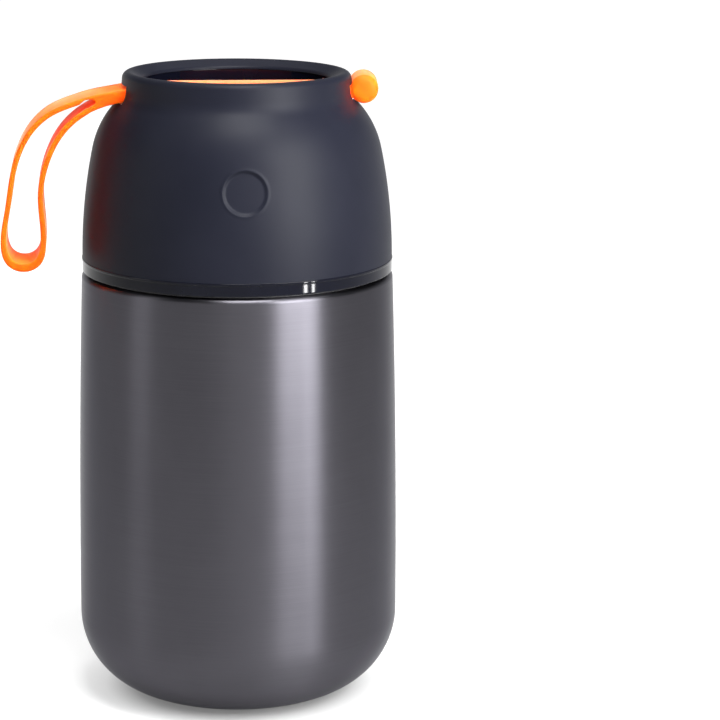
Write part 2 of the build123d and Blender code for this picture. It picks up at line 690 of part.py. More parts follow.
def make_strap_loop():
    """Teardrop loop: two legs that part at the root and meet in the bottom bend."""
    middle = loop_middle_line()
    low_z = root_z - LOOP_DROP
    outer, inner = [], []
    for step in range(LOOP_STEPS + 1):
        place = middle @ (step / LOOP_STEPS)
        along = middle % (step / LOOP_STEPS)
        near_bend = max(0.0, 1 - (place.Y - low_z) / LOOP_BEND_WIDTH)
        half = (LOOP_LEG + (LOOP_BEND_THICKNESS - LOOP_LEG) * near_bend**2) / 2
        outer.append((place.X + along.Y * half, place.Y - along.X * half))
        inner.append((place.X - along.Y * half, place.Y + along.X * half))
    outer_line = Spline(*outer)
    inner_line = Spline(*inner)
    ribbon = make_face(Wire([
        outer_line, Line(outer_line @ 1, inner_line @ 1), inner_line, Line(inner_line @ 0, outer_line @ 0),
    ]))
    nose = Pos(nose_x, root_z) * Circle(nose_radius)
    return cut_to_width(ribbon + nose)


parts["strap_band"] = make_strap_band()
parts["strap_loop"] = make_strap_loop()

if __name__ == "__main__":
    os.makedirs("parts", exist_ok=True)
    for name, shape in parts.items():
        export_step(shape, f"parts/{name}.step")
        print(name, shape.is_valid, round(shape.volume), "mm3", len(shape.solids()), "solids")
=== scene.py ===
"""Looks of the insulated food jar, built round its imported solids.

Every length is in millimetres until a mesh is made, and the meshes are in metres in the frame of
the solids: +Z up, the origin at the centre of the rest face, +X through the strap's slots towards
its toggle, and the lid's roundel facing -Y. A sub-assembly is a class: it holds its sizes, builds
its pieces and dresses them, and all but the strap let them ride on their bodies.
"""

import json
import logging
import math
from dataclasses import dataclass, field
from enum import Enum
from typing import Any, Callable, Iterable, Sequence

import bmesh
import bpy
import numpy as np
from mathutils import Matrix, Vector

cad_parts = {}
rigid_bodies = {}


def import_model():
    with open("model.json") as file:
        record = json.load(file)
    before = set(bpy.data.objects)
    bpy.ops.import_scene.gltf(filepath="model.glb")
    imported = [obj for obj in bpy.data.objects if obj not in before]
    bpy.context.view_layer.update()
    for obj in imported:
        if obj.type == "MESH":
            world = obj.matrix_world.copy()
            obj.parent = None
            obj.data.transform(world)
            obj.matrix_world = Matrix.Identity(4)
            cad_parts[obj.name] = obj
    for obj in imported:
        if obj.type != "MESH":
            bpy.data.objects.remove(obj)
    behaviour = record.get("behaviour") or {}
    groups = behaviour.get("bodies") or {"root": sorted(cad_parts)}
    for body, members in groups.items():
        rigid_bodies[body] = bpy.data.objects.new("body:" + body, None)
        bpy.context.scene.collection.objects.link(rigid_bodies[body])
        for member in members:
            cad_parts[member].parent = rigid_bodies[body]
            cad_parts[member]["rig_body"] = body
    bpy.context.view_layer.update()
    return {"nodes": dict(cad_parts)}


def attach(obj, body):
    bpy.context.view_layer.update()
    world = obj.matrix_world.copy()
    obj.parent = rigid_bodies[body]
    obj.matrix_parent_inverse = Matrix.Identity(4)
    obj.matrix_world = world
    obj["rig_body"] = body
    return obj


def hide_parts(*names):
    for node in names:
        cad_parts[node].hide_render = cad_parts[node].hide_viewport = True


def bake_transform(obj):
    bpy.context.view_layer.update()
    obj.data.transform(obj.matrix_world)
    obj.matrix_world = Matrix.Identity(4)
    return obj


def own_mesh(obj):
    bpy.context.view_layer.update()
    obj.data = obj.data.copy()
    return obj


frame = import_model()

MM = 0.001
MERGE = 1e-6
STRAIGHT = 1e-9
SMOOTH_ANGLE = math.radians(32)
BEVEL_ANGLE = math.radians(60)
BEVEL_STEPS = 3
NOISE_LOW, NOISE_HIGH = 0.3, 0.7
WHITE = (1.0, 1.0, 1.0, 1.0)

Point = tuple[float, float]
Colour = tuple[float, float, float]
log = logging.getLogger("food_jar")


class Body(Enum):
    """Bodies of the jar that move by themselves."""

    ROOT = "root"
    STOPPER = "stopper"
    STOPPER_RING = "stopper_ring"
    BUTTON = "button"
    LID = "lid"
    LID_RING = "lid_ring"
    STRAP = "strap"
    LOOP = "loop"


class Slot(Enum):
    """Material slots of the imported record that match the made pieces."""

    BODY_STEEL = "brushed_steel_skin"
    BARE_STEEL = "polished_steel"
    DARK_PLASTIC = "dark_plastic"
    GLOSS = "gloss_black"
    SOFT_TOUCH = "soft_touch"
    STRAP = "strap_silicone"


# ---------------------------------------------------------------- finishes


class ShaderGraph:
    """A material under construction, with short calls for the nodes that finishes share."""

    def __init__(self, name: str) -> None:
        """Start a material with one Principled shader.

        Args:
            name: The material's name.
        """
        self.material = bpy.data.materials.new(name)
        self.material.use_nodes = True
        self.nodes = self.material.node_tree.nodes
        self.links = self.material.node_tree.links
        self.shader = next(n for n in self.nodes if n.type == "BSDF_PRINCIPLED")
        self.coordinates = self.nodes.new("ShaderNodeTexCoord").outputs["Object"]

    def set(self, **values: Any) -> None:
        """Set sockets of the Principled shader, with underscores for spaces."""
        for name, value in values.items():
            self.shader.inputs[name.replace("_", " ")].default_value = value

    def feed(self, socket: str, output: Any) -> None:
        """Link an output into a socket of the Principled shader."""
        self.links.new(output, self.shader.inputs[socket])

    def stretched(self, scale: Sequence[float]) -> Any:
        """Object coordinates scaled by axis.

        Args:
            scale: Factor along X, Y and Z.

        Returns:
            The scaled vector output.
        """
        mapping = self.nodes.new("ShaderNodeMapping")
        mapping.inputs["Scale"].default_value = scale
        self.links.new(self.coordinates, mapping.inputs["Vector"])
        return mapping.outputs["Vector"]

    def noise(self, scale: Sequence[float], detail: float = 2.0, roughness: float = 0.5) -> Any:
        """Noise over stretched object coordinates.

        Args:
            scale: Grains to the metre along X, Y and Z.
            detail: Octaves of the noise.
            roughness: Weight of the finer octaves.

        Returns:
            The noise's value output, about 0.5 in the mean.
        """
        noise = self.nodes.new("ShaderNodeTexNoise")
        noise.inputs["Scale"].default_value = 1.0
        noise.inputs["Detail"].default_value = detail
        noise.inputs["Roughness"].default_value = roughness
        self.links.new(self.stretched(scale), noise.inputs["Vector"])
        return noise.outputs["Fac"]

    def spread(self, value: Any, low: float, high: float) -> Any:
        """Map a noise's middle range to low and high.

        Args:
            value: The noise's output.
            low: Result where the noise is at NOISE_LOW.
            high: Result where the noise is at NOISE_HIGH.

        Returns:
            The mapped value output.
        """
        remap = self.nodes.new("ShaderNodeMapRange")
        remap.inputs["From Min"].default_value = NOISE_LOW
        remap.inputs["From Max"].default_value = NOISE_HIGH
        remap.inputs["To Min"].default_value = low
        remap.inputs["To Max"].default_value = high
        self.links.new(value, remap.inputs["Value"])
        return remap.outputs["Result"]

    def math(self, operation: str, first: Any, second: Any) -> Any:
        """One Math node.

        Args:
            operation: The node's operation.
            first: An output or a number.
            second: An output or a number.

        Returns:
            The node's value output.
        """
        node = self.nodes.new("ShaderNodeMath")
        node.operation = operation
        for socket, source in zip(node.inputs, (first, second)):
            if isinstance(source, (int, float)):
                socket.default_value = source
            else:
                self.links.new(source, socket)
        return node.outputs["Value"]

    def blend_colours(self, share: Any, first: Colour, second: Colour) -> Any:
        """Mix two colours by a value.

        Args:
            share: Output that runs from 0, first, to 1, second.
            first: Linear colour.
            second: Linear colour.

        Returns:
            The mixed colour output.
        """
        mix = self.nodes.new("ShaderNodeMix")
        mix.data_type = "RGBA"
        mix.inputs[6].default_value = (*first, 1.0)
        mix.inputs[7].default_value = (*second, 1.0)
        self.links.new(share, mix.inputs[0])
        return mix.outputs[2]

    def grain(self, size: float, detail: float = 2.0, roughness: float = 0.5) -> Any:
        """Even noise with grains of a size in millimetres."""
        return self.noise([1 / (size * MM)] * 3, detail, roughness)

    def tint(self, tone: Any, dark: Colour, light: Colour) -> None:
        """Let a noise mix the base colour from dark to light."""
        self.feed("Base Color", self.blend_colours(self.spread(tone, 0.0, 1.0), dark, light))

    def roughen(self, tone: Any, middle: float, spare: float) -> None:
        """Let a noise vary the roughness by a spare on both sides of its middle."""
        self.feed("Roughness", self.spread(tone, middle - spare, middle + spare))

    def bump(self, height: Any, distance: float) -> None:
        """Raise the surface's shading by a height.

        Args:
            height: Output from 0 to 1.
            distance: Height of 1, in millimetres.
        """
        bump = self.nodes.new("ShaderNodeBump")
        bump.inputs["Distance"].default_value = distance * MM
        bump.inputs["Strength"].default_value = 1.0
        self.links.new(height, bump.inputs["Height"])
        self.links.new(bump.outputs["Normal"], self.shader.inputs["Normal"])


@dataclass(frozen=True)
class BrushedSteel:
    """Steel with fine lines round the jar's axis."""

    name: str
    dark: Colour
    light: Colour
    roughness: float
    edge_tint: Colour = (1.0, 1.0, 1.0)
    anisotropy: float = 0.6
    line_turn: float = 0.25
    line: float = 0.14
    line_length: float = 26.0
    line_share: float = 0.7
    line_relief: float = 0.004
    clouds: tuple[float, float, float] = (55.0, 55.0, 30.0)
    contrast: float = 0.05

    def material(self) -> bpy.types.Material:
        """Build the material.

        Returns:
            Metal whose colour and roughness vary along fine rings.
        """
        graph = ShaderGraph(self.name)
        along = 1 / (self.line_length * MM)
        across = 1 / (self.line * MM)
        lines = graph.noise((along, along, across), detail=3.0, roughness=0.6)
        clouds = graph.math("MULTIPLY", graph.noise(self.clouds), 1 - self.line_share)
        tone = graph.math("ADD", graph.math("MULTIPLY", lines, self.line_share), clouds)
        graph.set(
            Metallic=1.0, Anisotropic=self.anisotropy, Anisotropic_Rotation=self.line_turn,
            Specular_Tint=(*self.edge_tint, 1.0),
        )
        graph.tint(tone, self.dark, self.light)
        graph.roughen(lines, self.roughness, self.contrast)
        graph.bump(lines, self.line_relief)
        tangent = graph.nodes.new("ShaderNodeTangent")
        tangent.direction_type = "RADIAL"
        tangent.axis = "Z"
        graph.feed("Tangent", tangent.outputs["Tangent"])
        return graph.material


@dataclass(frozen=True)
class SoftTouch:
    """Rubbery matte coat with a fine grain."""

    name: str
    dark: Colour
    light: Colour
    roughness: float = 0.46
    spare: float = 0.04
    grain: float = 0.18
    relief: float = 0.012
    cloud: float = 25.0
    shine: float = 0.08

    def material(self) -> bpy.types.Material:
        """Build the material.

        Returns:
            A dark coat with a faint bloom and a powdery grain.
        """
        graph = ShaderGraph(self.name)
        grains = graph.grain(self.grain, detail=3.0, roughness=0.65)
        graph.set(Specular_IOR_Level=self.shine)
        graph.tint(graph.grain(self.cloud, detail=3.0), self.dark, self.light)
        graph.roughen(grains, self.roughness, self.spare)
        graph.bump(grains, self.relief)
        return graph.material


@dataclass(frozen=True)
class MouldedPlastic:
    """Moulded plastic, from gloss to satin by its roughness."""

    name: str
    dark: Colour
    light: Colour
    roughness: float
    spare_share: float = 0.2
    texture: float = 0.35
    relief: float = 0.003
    waves: float = 70.0
    shine: float = 0.5

    def material(self) -> bpy.types.Material:
        """Build the material.

        Returns:
            Plastic with slow waves of the moulding and a faint surface texture.
        """
        graph = ShaderGraph(self.name)
        texture = graph.grain(self.texture)
        graph.set(Specular_IOR_Level=self.shine)
        graph.tint(graph.noise([self.waves] * 3), self.dark, self.light)
        graph.roughen(texture, self.roughness, self.roughness * self.spare_share)
        graph.bump(texture, self.relief)
        return graph.material


@dataclass(frozen=True)
class Silicone:
    """Soft translucent rubber with a velvety bloom; a faint emission is a painted glow that stands in for
    light bleeding through its shaded faces.
    """

    name: str
    deep: Colour
    bright: Colour
    roughness: float = 0.38
    spare: float = 0.05
    depth: float = 1.6
    reach: Colour = (1.0, 0.35, 0.1)
    glow: float = 0.25
    shine: float = 0.4
    bloom: float = 0.0
    bloom_roughness: float = 0.35
    bloom_tint: Colour = (1.0, 0.74, 0.52)
    neon: float = 0.0
    skin: float = 0.3
    relief: float = 0.006
    clouds: float = 120.0

    def material(self) -> bpy.types.Material:
        """Build the material.

        Returns:
            Coloured silicone with light that bleeds through thin places, and a faint painted glow of its own.
        """
        graph = ShaderGraph(self.name)
        skin = graph.grain(self.skin)
        # The emission is a painted glow, standing in for light that passes through the silicone into its
        # shade.
        graph.set(
            Subsurface_Weight=self.glow, Subsurface_Scale=self.depth * MM, Subsurface_Radius=self.reach,
            Specular_IOR_Level=self.shine, Sheen_Weight=self.bloom,
            Sheen_Roughness=self.bloom_roughness, Sheen_Tint=(*self.bloom_tint, 1.0),
            Emission_Color=(*self.bright, 1.0), Emission_Strength=self.neon,
        )
        graph.tint(graph.noise([self.clouds] * 3, detail=3.0), self.deep, self.bright)
        graph.roughen(skin, self.roughness, self.spare)
        graph.bump(skin, self.relief)
        return graph.material


@dataclass(frozen=True)
class Foam:
    """Closed-cell insulation foam."""

    name: str
    colour: Colour
    shade: Colour
    cell: float = 0.9
    relief: float = 0.15
    roughness: float = 0.85

    def material(self) -> bpy.types.Material:
        """Build the material.

        Returns:
            A pale body pitted with small cells.
        """
        graph = ShaderGraph(self.name)
        cells = graph.nodes.new("ShaderNodeTexVoronoi")
        cells.inputs["Scale"].default_value = 1.0
        graph.links.new(graph.stretched([1 / (self.cell * MM)] * 3), cells.inputs["Vector"])
        pits = cells.outputs["Distance"]
        graph.set(Roughness=self.roughness)
        graph.feed("Base Color", graph.blend_colours(pits, self.shade, self.colour))
        graph.bump(pits, self.relief)
        return graph.material


class Finishes:
    """Every finish of the jar, each built once."""

    BODY = BrushedSteel(
        "gunmetal_brushed_steel", (0.053, 0.051, 0.059), (0.067, 0.065, 0.074), 0.36,
        edge_tint=(0.65, 0.65, 0.67), anisotropy=0.85, contrast=0.03,
    )
    BARE = BrushedSteel(
        "bare_steel", (0.50, 0.49, 0.48), (0.60, 0.59, 0.58), 0.22, line=0.2, contrast=0.04,
    )
    SOLDER = BrushedSteel(
        "dull_solder", (0.32, 0.32, 0.33), (0.42, 0.42, 0.43), 0.5, anisotropy=0.0, line=1.2,
    )
    SOFT = SoftTouch("charcoal_soft_touch", (0.0056, 0.0062, 0.0108), (0.0074, 0.0080, 0.0132))
    GLOSS = MouldedPlastic(
        "gloss_navy_black", (0.0018, 0.0020, 0.0045), (0.0026, 0.0029, 0.0062), 0.07,
        relief=0.0005, shine=0.13,
    )
    SATIN = MouldedPlastic(
        "satin_dark_plastic", (0.022, 0.023, 0.030), (0.028, 0.029, 0.036), 0.62, shine=0.2,
    )
    BUTTON = MouldedPlastic("orange_button", (0.86, 0.16, 0.01), (0.92, 0.20, 0.015), 0.62, shine=0.2)
    # The strap's faint emission is a painted glow that lifts its shaded inner faces.
    STRAP = Silicone(
        "orange_silicone", (0.98, 0.10, 0.0005), (1.0, 0.125, 0.001), roughness=0.55, depth=3.0,
        glow=1.0, shine=0.12, bloom=0.4, neon=0.12,
    )
    SEAL = Silicone("clear_grey_silicone", (0.50, 0.50, 0.48), (0.58, 0.58, 0.56), glow=0.3)
    LID_SEAL = MouldedPlastic(
        "black_seal_rubber", (0.010, 0.010, 0.012), (0.014, 0.014, 0.016), 0.6, relief=0.01,
    )
    PAD = MouldedPlastic("pad_rubber", (0.022, 0.022, 0.024), (0.032, 0.032, 0.034), 0.75, relief=0.02)
    FOAM = Foam("insulation_foam", (0.80, 0.79, 0.74), (0.55, 0.54, 0.50))

    _built: dict[str, bpy.types.Material] = {}

    @classmethod
    def of(cls, finish: Any) -> bpy.types.Material:
        """The built material of a finish.

        Args:
            finish: One of the finishes above.

        Returns:
            Its material.
        """
        if finish.name not in cls._built:
            cls._built[finish.name] = finish.material()
        return cls._built[finish.name]


# ---------------------------------------------------------------- outlines


class Outline:
    """A closed outline in the half plane of radius and height, drawn in order."""

    def __init__(self) -> None:
        """Start with no points."""
        self.points: list[Point] = []

    def to(self, *ends: Point) -> "Outline":
        """Add straight lines to each end.

        Args:
            ends: The lines' end points, in order.

        Returns:
            The outline itself.
        """
        for end in ends:
            if not self.points or math.dist(self.points[-1], end) > MERGE:
                self.points.append(end)
        return self

    def arc(self, centre: Point, radius: float, start: float, turn: float, step: float = 3.0) -> "Outline":
        """Add an arc about a centre.

        Args:
            centre: The arc's centre.
            radius: The arc's radius.
            start: Angle of its first point, in degrees from the radius axis.
            turn: Degrees to turn, positive anticlockwise.
            step: Most degrees from one point to the next.

        Returns:
            The outline itself.
        """
        count = max(2, math.ceil(abs(turn) / step))
        for n in range(count + 1):
            angle = math.radians(start + turn * n / count)
            self.to((centre[0] + radius * math.cos(angle), centre[1] + radius * math.sin(angle)))
        return self

    def curve_to(self, start: Point, heading: Point, end: Point, steps: int = 24) -> Point:
        """Add the arc that leaves start along a heading and reaches end.

        Args:
            start: First point.
            heading: Direction at the first point.
            end: Last point.
            steps: Spans of the arc.

        Returns:
            The direction at the last point.
        """
        for n in range(steps + 1):
            self.to(tangent_arc(start, heading, end, n / steps))
        return arc_heading(start, heading, end)

    def rounded(self, corners: Sequence[tuple[Point, float]], step: float = 9.0) -> "Outline":
        """Add a chain of corners with a bend radius each; the first and last stay sharp.

        Args:
            corners: Pairs of a corner and its bend radius.
            step: Most degrees from one point of a bend to the next.

        Returns:
            The outline itself.
        """
        places = [np.array(c[0], float) for c in corners]
        for n, (corner, bend) in enumerate(zip(places, (c[1] for c in corners))):
            if bend <= 0 or n in (0, len(corners) - 1):
                self.to((float(corner[0]), float(corner[1])))
                continue
            back, ahead = places[n - 1] - corner, places[n + 1] - corner
            back, ahead = back / np.linalg.norm(back), ahead / np.linalg.norm(ahead)
            half = math.acos(float(np.clip(back @ ahead, -1, 1))) / 2
            middle = corner + (back + ahead) / np.linalg.norm(back + ahead) * bend / math.sin(half)
            first = corner + back * bend / math.tan(half) - middle
            cross = back[0] * ahead[1] - back[1] * ahead[0]
            turn = math.degrees(math.pi - 2 * half) * (-1 if cross > 0 else 1)
            start = math.degrees(math.atan2(first[1], first[0]))
            self.arc((float(middle[0]), float(middle[1])), bend, start, turn, step)
        return self

    def fine_between(self, low: float, high: float, least_radius: float, step: float) -> "Outline":
        """Divide the spans of a height range that lie outside a radius.

        Args:
            low: Lowest height.
            high: Highest height.
            least_radius: Radius outside which spans are divided.
            step: Longest span to leave.

        Returns:
            The outline itself.
        """
        fine = []
        for here, there in zip(self.points, self.points[1:] + self.points[:1]):
            fine.append(here)
            inside = low <= (here[1] + there[1]) / 2 <= high and min(here[0], there[0]) > least_radius
            parts = math.ceil(math.dist(here, there) / step) if inside else 1
            for n in range(1, parts):
                share = n / parts
                fine.append((here[0] + (there[0] - here[0]) * share, here[1] + (there[1] - here[1]) * share))
        self.points = fine
        return self


def tangent_arc(start: Point, heading: Point, end: Point, share: float) -> Point:
    """Point on the arc from start, leaving along a heading, to end.

    Args:
        start: First point.
        heading: Direction at the first point.
        end: Last point.
        share: Place along the arc, from 0 to 1.

    Returns:
        The point.
    """
    chord = (end[0] - start[0], end[1] - start[1])
    length = math.hypot(*chord)
    bow = math.atan2(
        heading[0] * chord[1] - heading[1] * chord[0], heading[0] * chord[0] + heading[1] * chord[1]
    )
    if abs(bow) < STRAIGHT:
        return start[0] + chord[0] * share, start[1] + chord[1] * share
    reach = length * math.sin(bow * share) / math.sin(bow)
    tilt = math.atan2(heading[1], heading[0]) + bow * share
    return start[0] + reach * math.cos(tilt), start[1] + reach * math.sin(tilt)


def arc_heading(start: Point, heading: Point, end: Point) -> Point:
    """Direction at the end of the arc that leaves start along a heading.

    Args:
        start: First point.
        heading: Direction at the first point.
        end: Last point.

    Returns:
        The unit direction at the end.
    """
    chord = math.atan2(end[1] - start[1], end[0] - start[0])
    tilt = 2 * chord - math.atan2(heading[1], heading[0])
    return math.cos(tilt), math.sin(tilt)


# ---------------------------------------------------------------- geometry nodes


class GeometryTree:
    """A Geometry Nodes tree under construction, with named inputs."""

    def __init__(self, name: str, inputs: dict[str, str]) -> None:
        """Start a tree that takes and gives one geometry.

        Args:
            name: The tree's name.
            inputs: Socket type for each named input.
        """
        self.tree = bpy.data.node_groups.new(name, "GeometryNodeTree")
        self.tree.is_modifier = True
        face = self.tree.interface
        face.new_socket(name="Geometry", in_out="INPUT", socket_type="NodeSocketGeometry")
        for label, kind in inputs.items():
            face.new_socket(name=label, in_out="INPUT", socket_type=f"NodeSocket{kind}")
        face.new_socket(name="Geometry", in_out="OUTPUT", socket_type="NodeSocketGeometry")
        self.inputs = self.tree.nodes.new("NodeGroupInput").outputs
        self.result = self.tree.nodes.new("NodeGroupOutput").inputs["Geometry"]

    def add(self, kind: str, links: dict[Any, Any] | None = None, **settings: Any) -> Any:
        """Add a node.

        Args:
            kind: The node's type.
            links: Output or value for each input, by name or number.
            settings: Properties of the node.

        Returns:
            The node.
        """
        node = self.tree.nodes.new(kind)
        for key, value in settings.items():
            setattr(node, key, value)
        for key, value in (links or {}).items():
            self.put(value, node.inputs[key])
        return node

    def put(self, value: Any, socket: Any) -> None:
        """Link an output, or write a plain value, into a socket.

        Args:
            value: The output or the value.
            socket: The input socket.
        """
        if isinstance(value, bpy.types.NodeSocket):
            self.tree.links.new(value, socket)
        else:
            socket.default_value = value

    def math(self, operation: str, first: Any, second: Any = 0.0, third: Any = 0.0) -> Any:
        """One Math node.

        Args:
            operation: The node's operation.
            first: An output or a number.
            second: An output or a number.
            third: An output or a number.

        Returns:
            The node's value output.
        """
        node = self.add("ShaderNodeMath", operation=operation)
        for socket, value in zip(node.inputs, (first, second, third)):
            self.put(value, socket)
        return node.outputs[0]

    def length(self, first: Any, second: Any) -> Any:
        """Length of a flat vector of two values."""
        squares = (self.math("MULTIPLY", value, value) for value in (first, second))
        return self.math("SQRT", self.math("ADD", *squares))

    def compare(self, operation: str, first: Any, second: Any) -> Any:
        """One Compare node for two numbers."""
        return self.add("FunctionNodeCompare", {0: first, 1: second}, operation=operation).outputs[0]

    def smooth_step(self, value: Any, low: Any, high: Any, start: float, end: float) -> Any:
        """A value that runs smoothly from start, at low, to end, at high."""
        limits = {"Value": value, "From Min": low, "From Max": high, "To Min": start, "To Max": end}
        return self.add("ShaderNodeMapRange", limits, interpolation_type="SMOOTHSTEP").outputs[0]

    def split(self, kind: str) -> Any:
        """X, Y and Z of what an input node gives."""
        return self.add("ShaderNodeSeparateXYZ", {0: self.add(kind).outputs[0]}).outputs

    def move(self, geometry: Any, **places: Any) -> Any:
        """Geometry moved by a Set Position node's Position, Offset and Selection."""
        return self.add("GeometryNodeSetPosition", {"Geometry": geometry, **places}).outputs[0]

    def vector(self, x: Any, y: Any, z: Any) -> Any:
        """A vector of three values."""
        return self.add("ShaderNodeCombineXYZ", {0: x, 1: y, 2: z}).outputs[0]

    def polar(self, radius: Any, angle: Any, height: Any) -> Any:
        """A place given in polar form about Z.

        Args:
            radius: Distance from Z.
            angle: Angle from X, in radians.
            height: Height.

        Returns:
            The place's vector output.
        """
        across = self.math("MULTIPLY", radius, self.math("COSINE", angle))
        along = self.math("MULTIPLY", radius, self.math("SINE", angle))
        return self.vector(across, along, height)

    def grid_places(self, rows: Any, columns: Any) -> tuple[Any, Any, Any]:
        """A grid of vertices with each one's row and column.

        Args:
            rows: Number of rows.
            columns: Number of columns.

        Returns:
            The grid's geometry, the row and the column.
        """
        grid = self.add("GeometryNodeMeshGrid", {"Vertices X": rows, "Vertices Y": columns})
        index = self.add("GeometryNodeInputIndex").outputs[0]
        row = self.math("FLOOR", self.math("DIVIDE", self.math("ADD", index, 0.5), columns))
        column = self.math("SUBTRACT", index, self.math("MULTIPLY", row, columns))
        return grid.outputs["Mesh"], row, column

    def finish(self, geometry: Any, material: Any) -> bpy.types.NodeTree:
        """End the tree: realize instances, merge doubles, shade and set the material.

        Args:
            geometry: The geometry so far.
            material: The material's output.

        Returns:
            The finished tree.
        """
        real = self.add("GeometryNodeRealizeInstances", {"Geometry": geometry}).outputs[0]
        whole = self.add("GeometryNodeMergeByDistance", {"Geometry": real, "Distance": MERGE}).outputs[0]
        angle = self.add("GeometryNodeInputMeshEdgeAngle").outputs["Unsigned Angle"]
        gentle = self.compare("LESS_THAN", angle, SMOOTH_ANGLE)
        for domain, smooth in (("FACE", True), ("EDGE", gentle)):
            links = {"Geometry": whole, "Shade Smooth": smooth}
            whole = self.add("GeometryNodeSetShadeSmooth", links, domain=domain).outputs[0]
        dressed = self.add("GeometryNodeSetMaterial", {"Geometry": whole, "Material": material})
        self.put(dressed.outputs[0], self.result)
        return self.tree


class Trees:
    """The jar's Geometry Nodes trees, each built once."""

    _built: dict[str, bpy.types.NodeTree] = {}

    @classmethod
    def of(cls, make: Callable[[], bpy.types.NodeTree]) -> bpy.types.NodeTree:
        """The tree that a function builds.

        Args:
            make: The function.

        Returns:
            Its tree.
        """
        if make.__name__ not in cls._built:
            cls._built[make.__name__] = make()
        return cls._built[make.__name__]


def turned_tree() -> bpy.types.NodeTree:
    """Turns the outline in the input mesh about Z, with columns gathered about one facing.

    Returns:
        The tree, with inputs Columns, Gather, Facing and Material.
    """
    kinds = {"Columns": "Int", "Gather": "Float", "Facing": "Float", "Material": "Material"}
    g = GeometryTree("turned", kinds)
    size = g.add("GeometryNodeAttributeDomainSize", {"Geometry": g.inputs["Geometry"]})
    columns = g.math("ADD", g.inputs["Columns"], 1.0)
    mesh, row, column = g.grid_places(size.outputs["Point Count"], columns)
    spaced = g.math("MULTIPLY", g.math("DIVIDE", column, g.inputs["Columns"]), math.tau)
    gathered = g.math("SUBTRACT", spaced, g.math("MULTIPLY", g.inputs["Gather"], g.math("SINE", spaced)))
    angle = g.math("ADD", gathered, g.inputs["Facing"])
    position = g.add("GeometryNodeInputPosition").outputs[0]
    sample = g.add("GeometryNodeSampleIndex", data_type="FLOAT_VECTOR", domain="POINT")
    g.put(g.inputs["Geometry"], sample.inputs["Geometry"])
    g.put(position, sample.inputs["Value"])
    g.put(row, sample.inputs["Index"])
    place = g.add("ShaderNodeSeparateXYZ", {0: sample.outputs[0]}).outputs
    around = g.move(mesh, Position=g.polar(place[0], angle, place[2]))
    flipped = g.add("GeometryNodeFlipFaces", {0: around})
    return g.finish(flipped.outputs[0], g.inputs["Material"])


def roundel_tree() -> bpy.types.NodeTree:
    """Sinks a round face with a soft wall and a faint bead into the side that faces -Y.

    Returns:
        The tree, with inputs for the roundel's sizes, how far it reaches, the normal that the
        side's faces have at most along Y, and Material.
    """
    names = ("Height", "Radius", "Wall", "Depth", "Dish", "Bead", "Bead Width", "Reach", "Facing")
    g = GeometryTree("roundel", {**{name: "Float" for name in names}, "Material": "Material"})
    place = g.split("GeometryNodeInputPosition")
    normal = g.split("GeometryNodeInputNormal")
    reach = g.length(place[0], g.math("SUBTRACT", place[2], g.inputs["Height"]))
    inner = g.math("SUBTRACT", g.inputs["Radius"], g.inputs["Wall"])
    wall = g.smooth_step(reach, inner, g.inputs["Radius"], 1.0, 0.0)
    aside = g.math("DIVIDE", place[0], g.inputs["Radius"])
    flat = g.math("MULTIPLY", g.math("SUBTRACT", 1.0, g.math("MULTIPLY", aside, aside)), g.inputs["Dish"])
    sunk = g.math("MULTIPLY", wall, g.math("ADD", g.inputs["Depth"], flat))
    off = g.math("DIVIDE", g.math("SUBTRACT", reach, g.inputs["Radius"]), g.inputs["Bead Width"])
    hump = g.math("EXPONENT", g.math("MULTIPLY", g.math("MULTIPLY", off, off), -1.0))
    shift = g.math("SUBTRACT", sunk, g.math("MULTIPLY", hump, g.inputs["Bead"]))
    front = g.compare("LESS_THAN", normal[1], g.inputs["Facing"])
    near = g.compare("LESS_THAN", reach, g.math("MULTIPLY", g.inputs["Radius"], g.inputs["Reach"]))
    both = g.add("FunctionNodeBooleanMath", {0: front, 1: near}, operation="AND").outputs[0]
    moved = g.move(g.inputs["Geometry"], Selection=both, Offset=g.vector(0.0, shift, 0.0))
    return g.finish(moved, g.inputs["Material"])


def scallop_tree() -> bpy.types.NodeTree:
    """Cuts evenly spaced shallow upright grooves into what lies outside a radius.

    Returns:
        The tree, with inputs Count, Half Width, Depth, From Radius and Material.
    """
    sizes = {"Count": "Int", "Half Width": "Float", "Depth": "Float", "From Radius": "Float"}
    g = GeometryTree("scallops", {**sizes, "Material": "Material"})
    place = g.split("GeometryNodeInputPosition")
    radius = g.length(place[0], place[1])
    angle = g.math("ARCTAN2", place[1], place[0])
    pitch = g.math("DIVIDE", math.tau, g.inputs["Count"])
    turn = g.math("WRAP", angle, g.math("MULTIPLY", pitch, 0.5), g.math("MULTIPLY", pitch, -0.5))
    off = g.math("DIVIDE", g.math("MULTIPLY", turn, radius), g.inputs["Half Width"])
    cut = g.math("MAXIMUM", g.math("SUBTRACT", 1.0, g.math("MULTIPLY", off, off)), 0.0)
    shrunk = g.math("SUBTRACT", radius, g.math("MULTIPLY", cut, g.inputs["Depth"]))
    outside = g.compare("GREATER_THAN", radius, g.inputs["From Radius"])
    moved = g.move(g.inputs["Geometry"], Selection=outside, Position=g.polar(shrunk, angle, place[2]))
    return g.finish(moved, g.inputs["Material"])


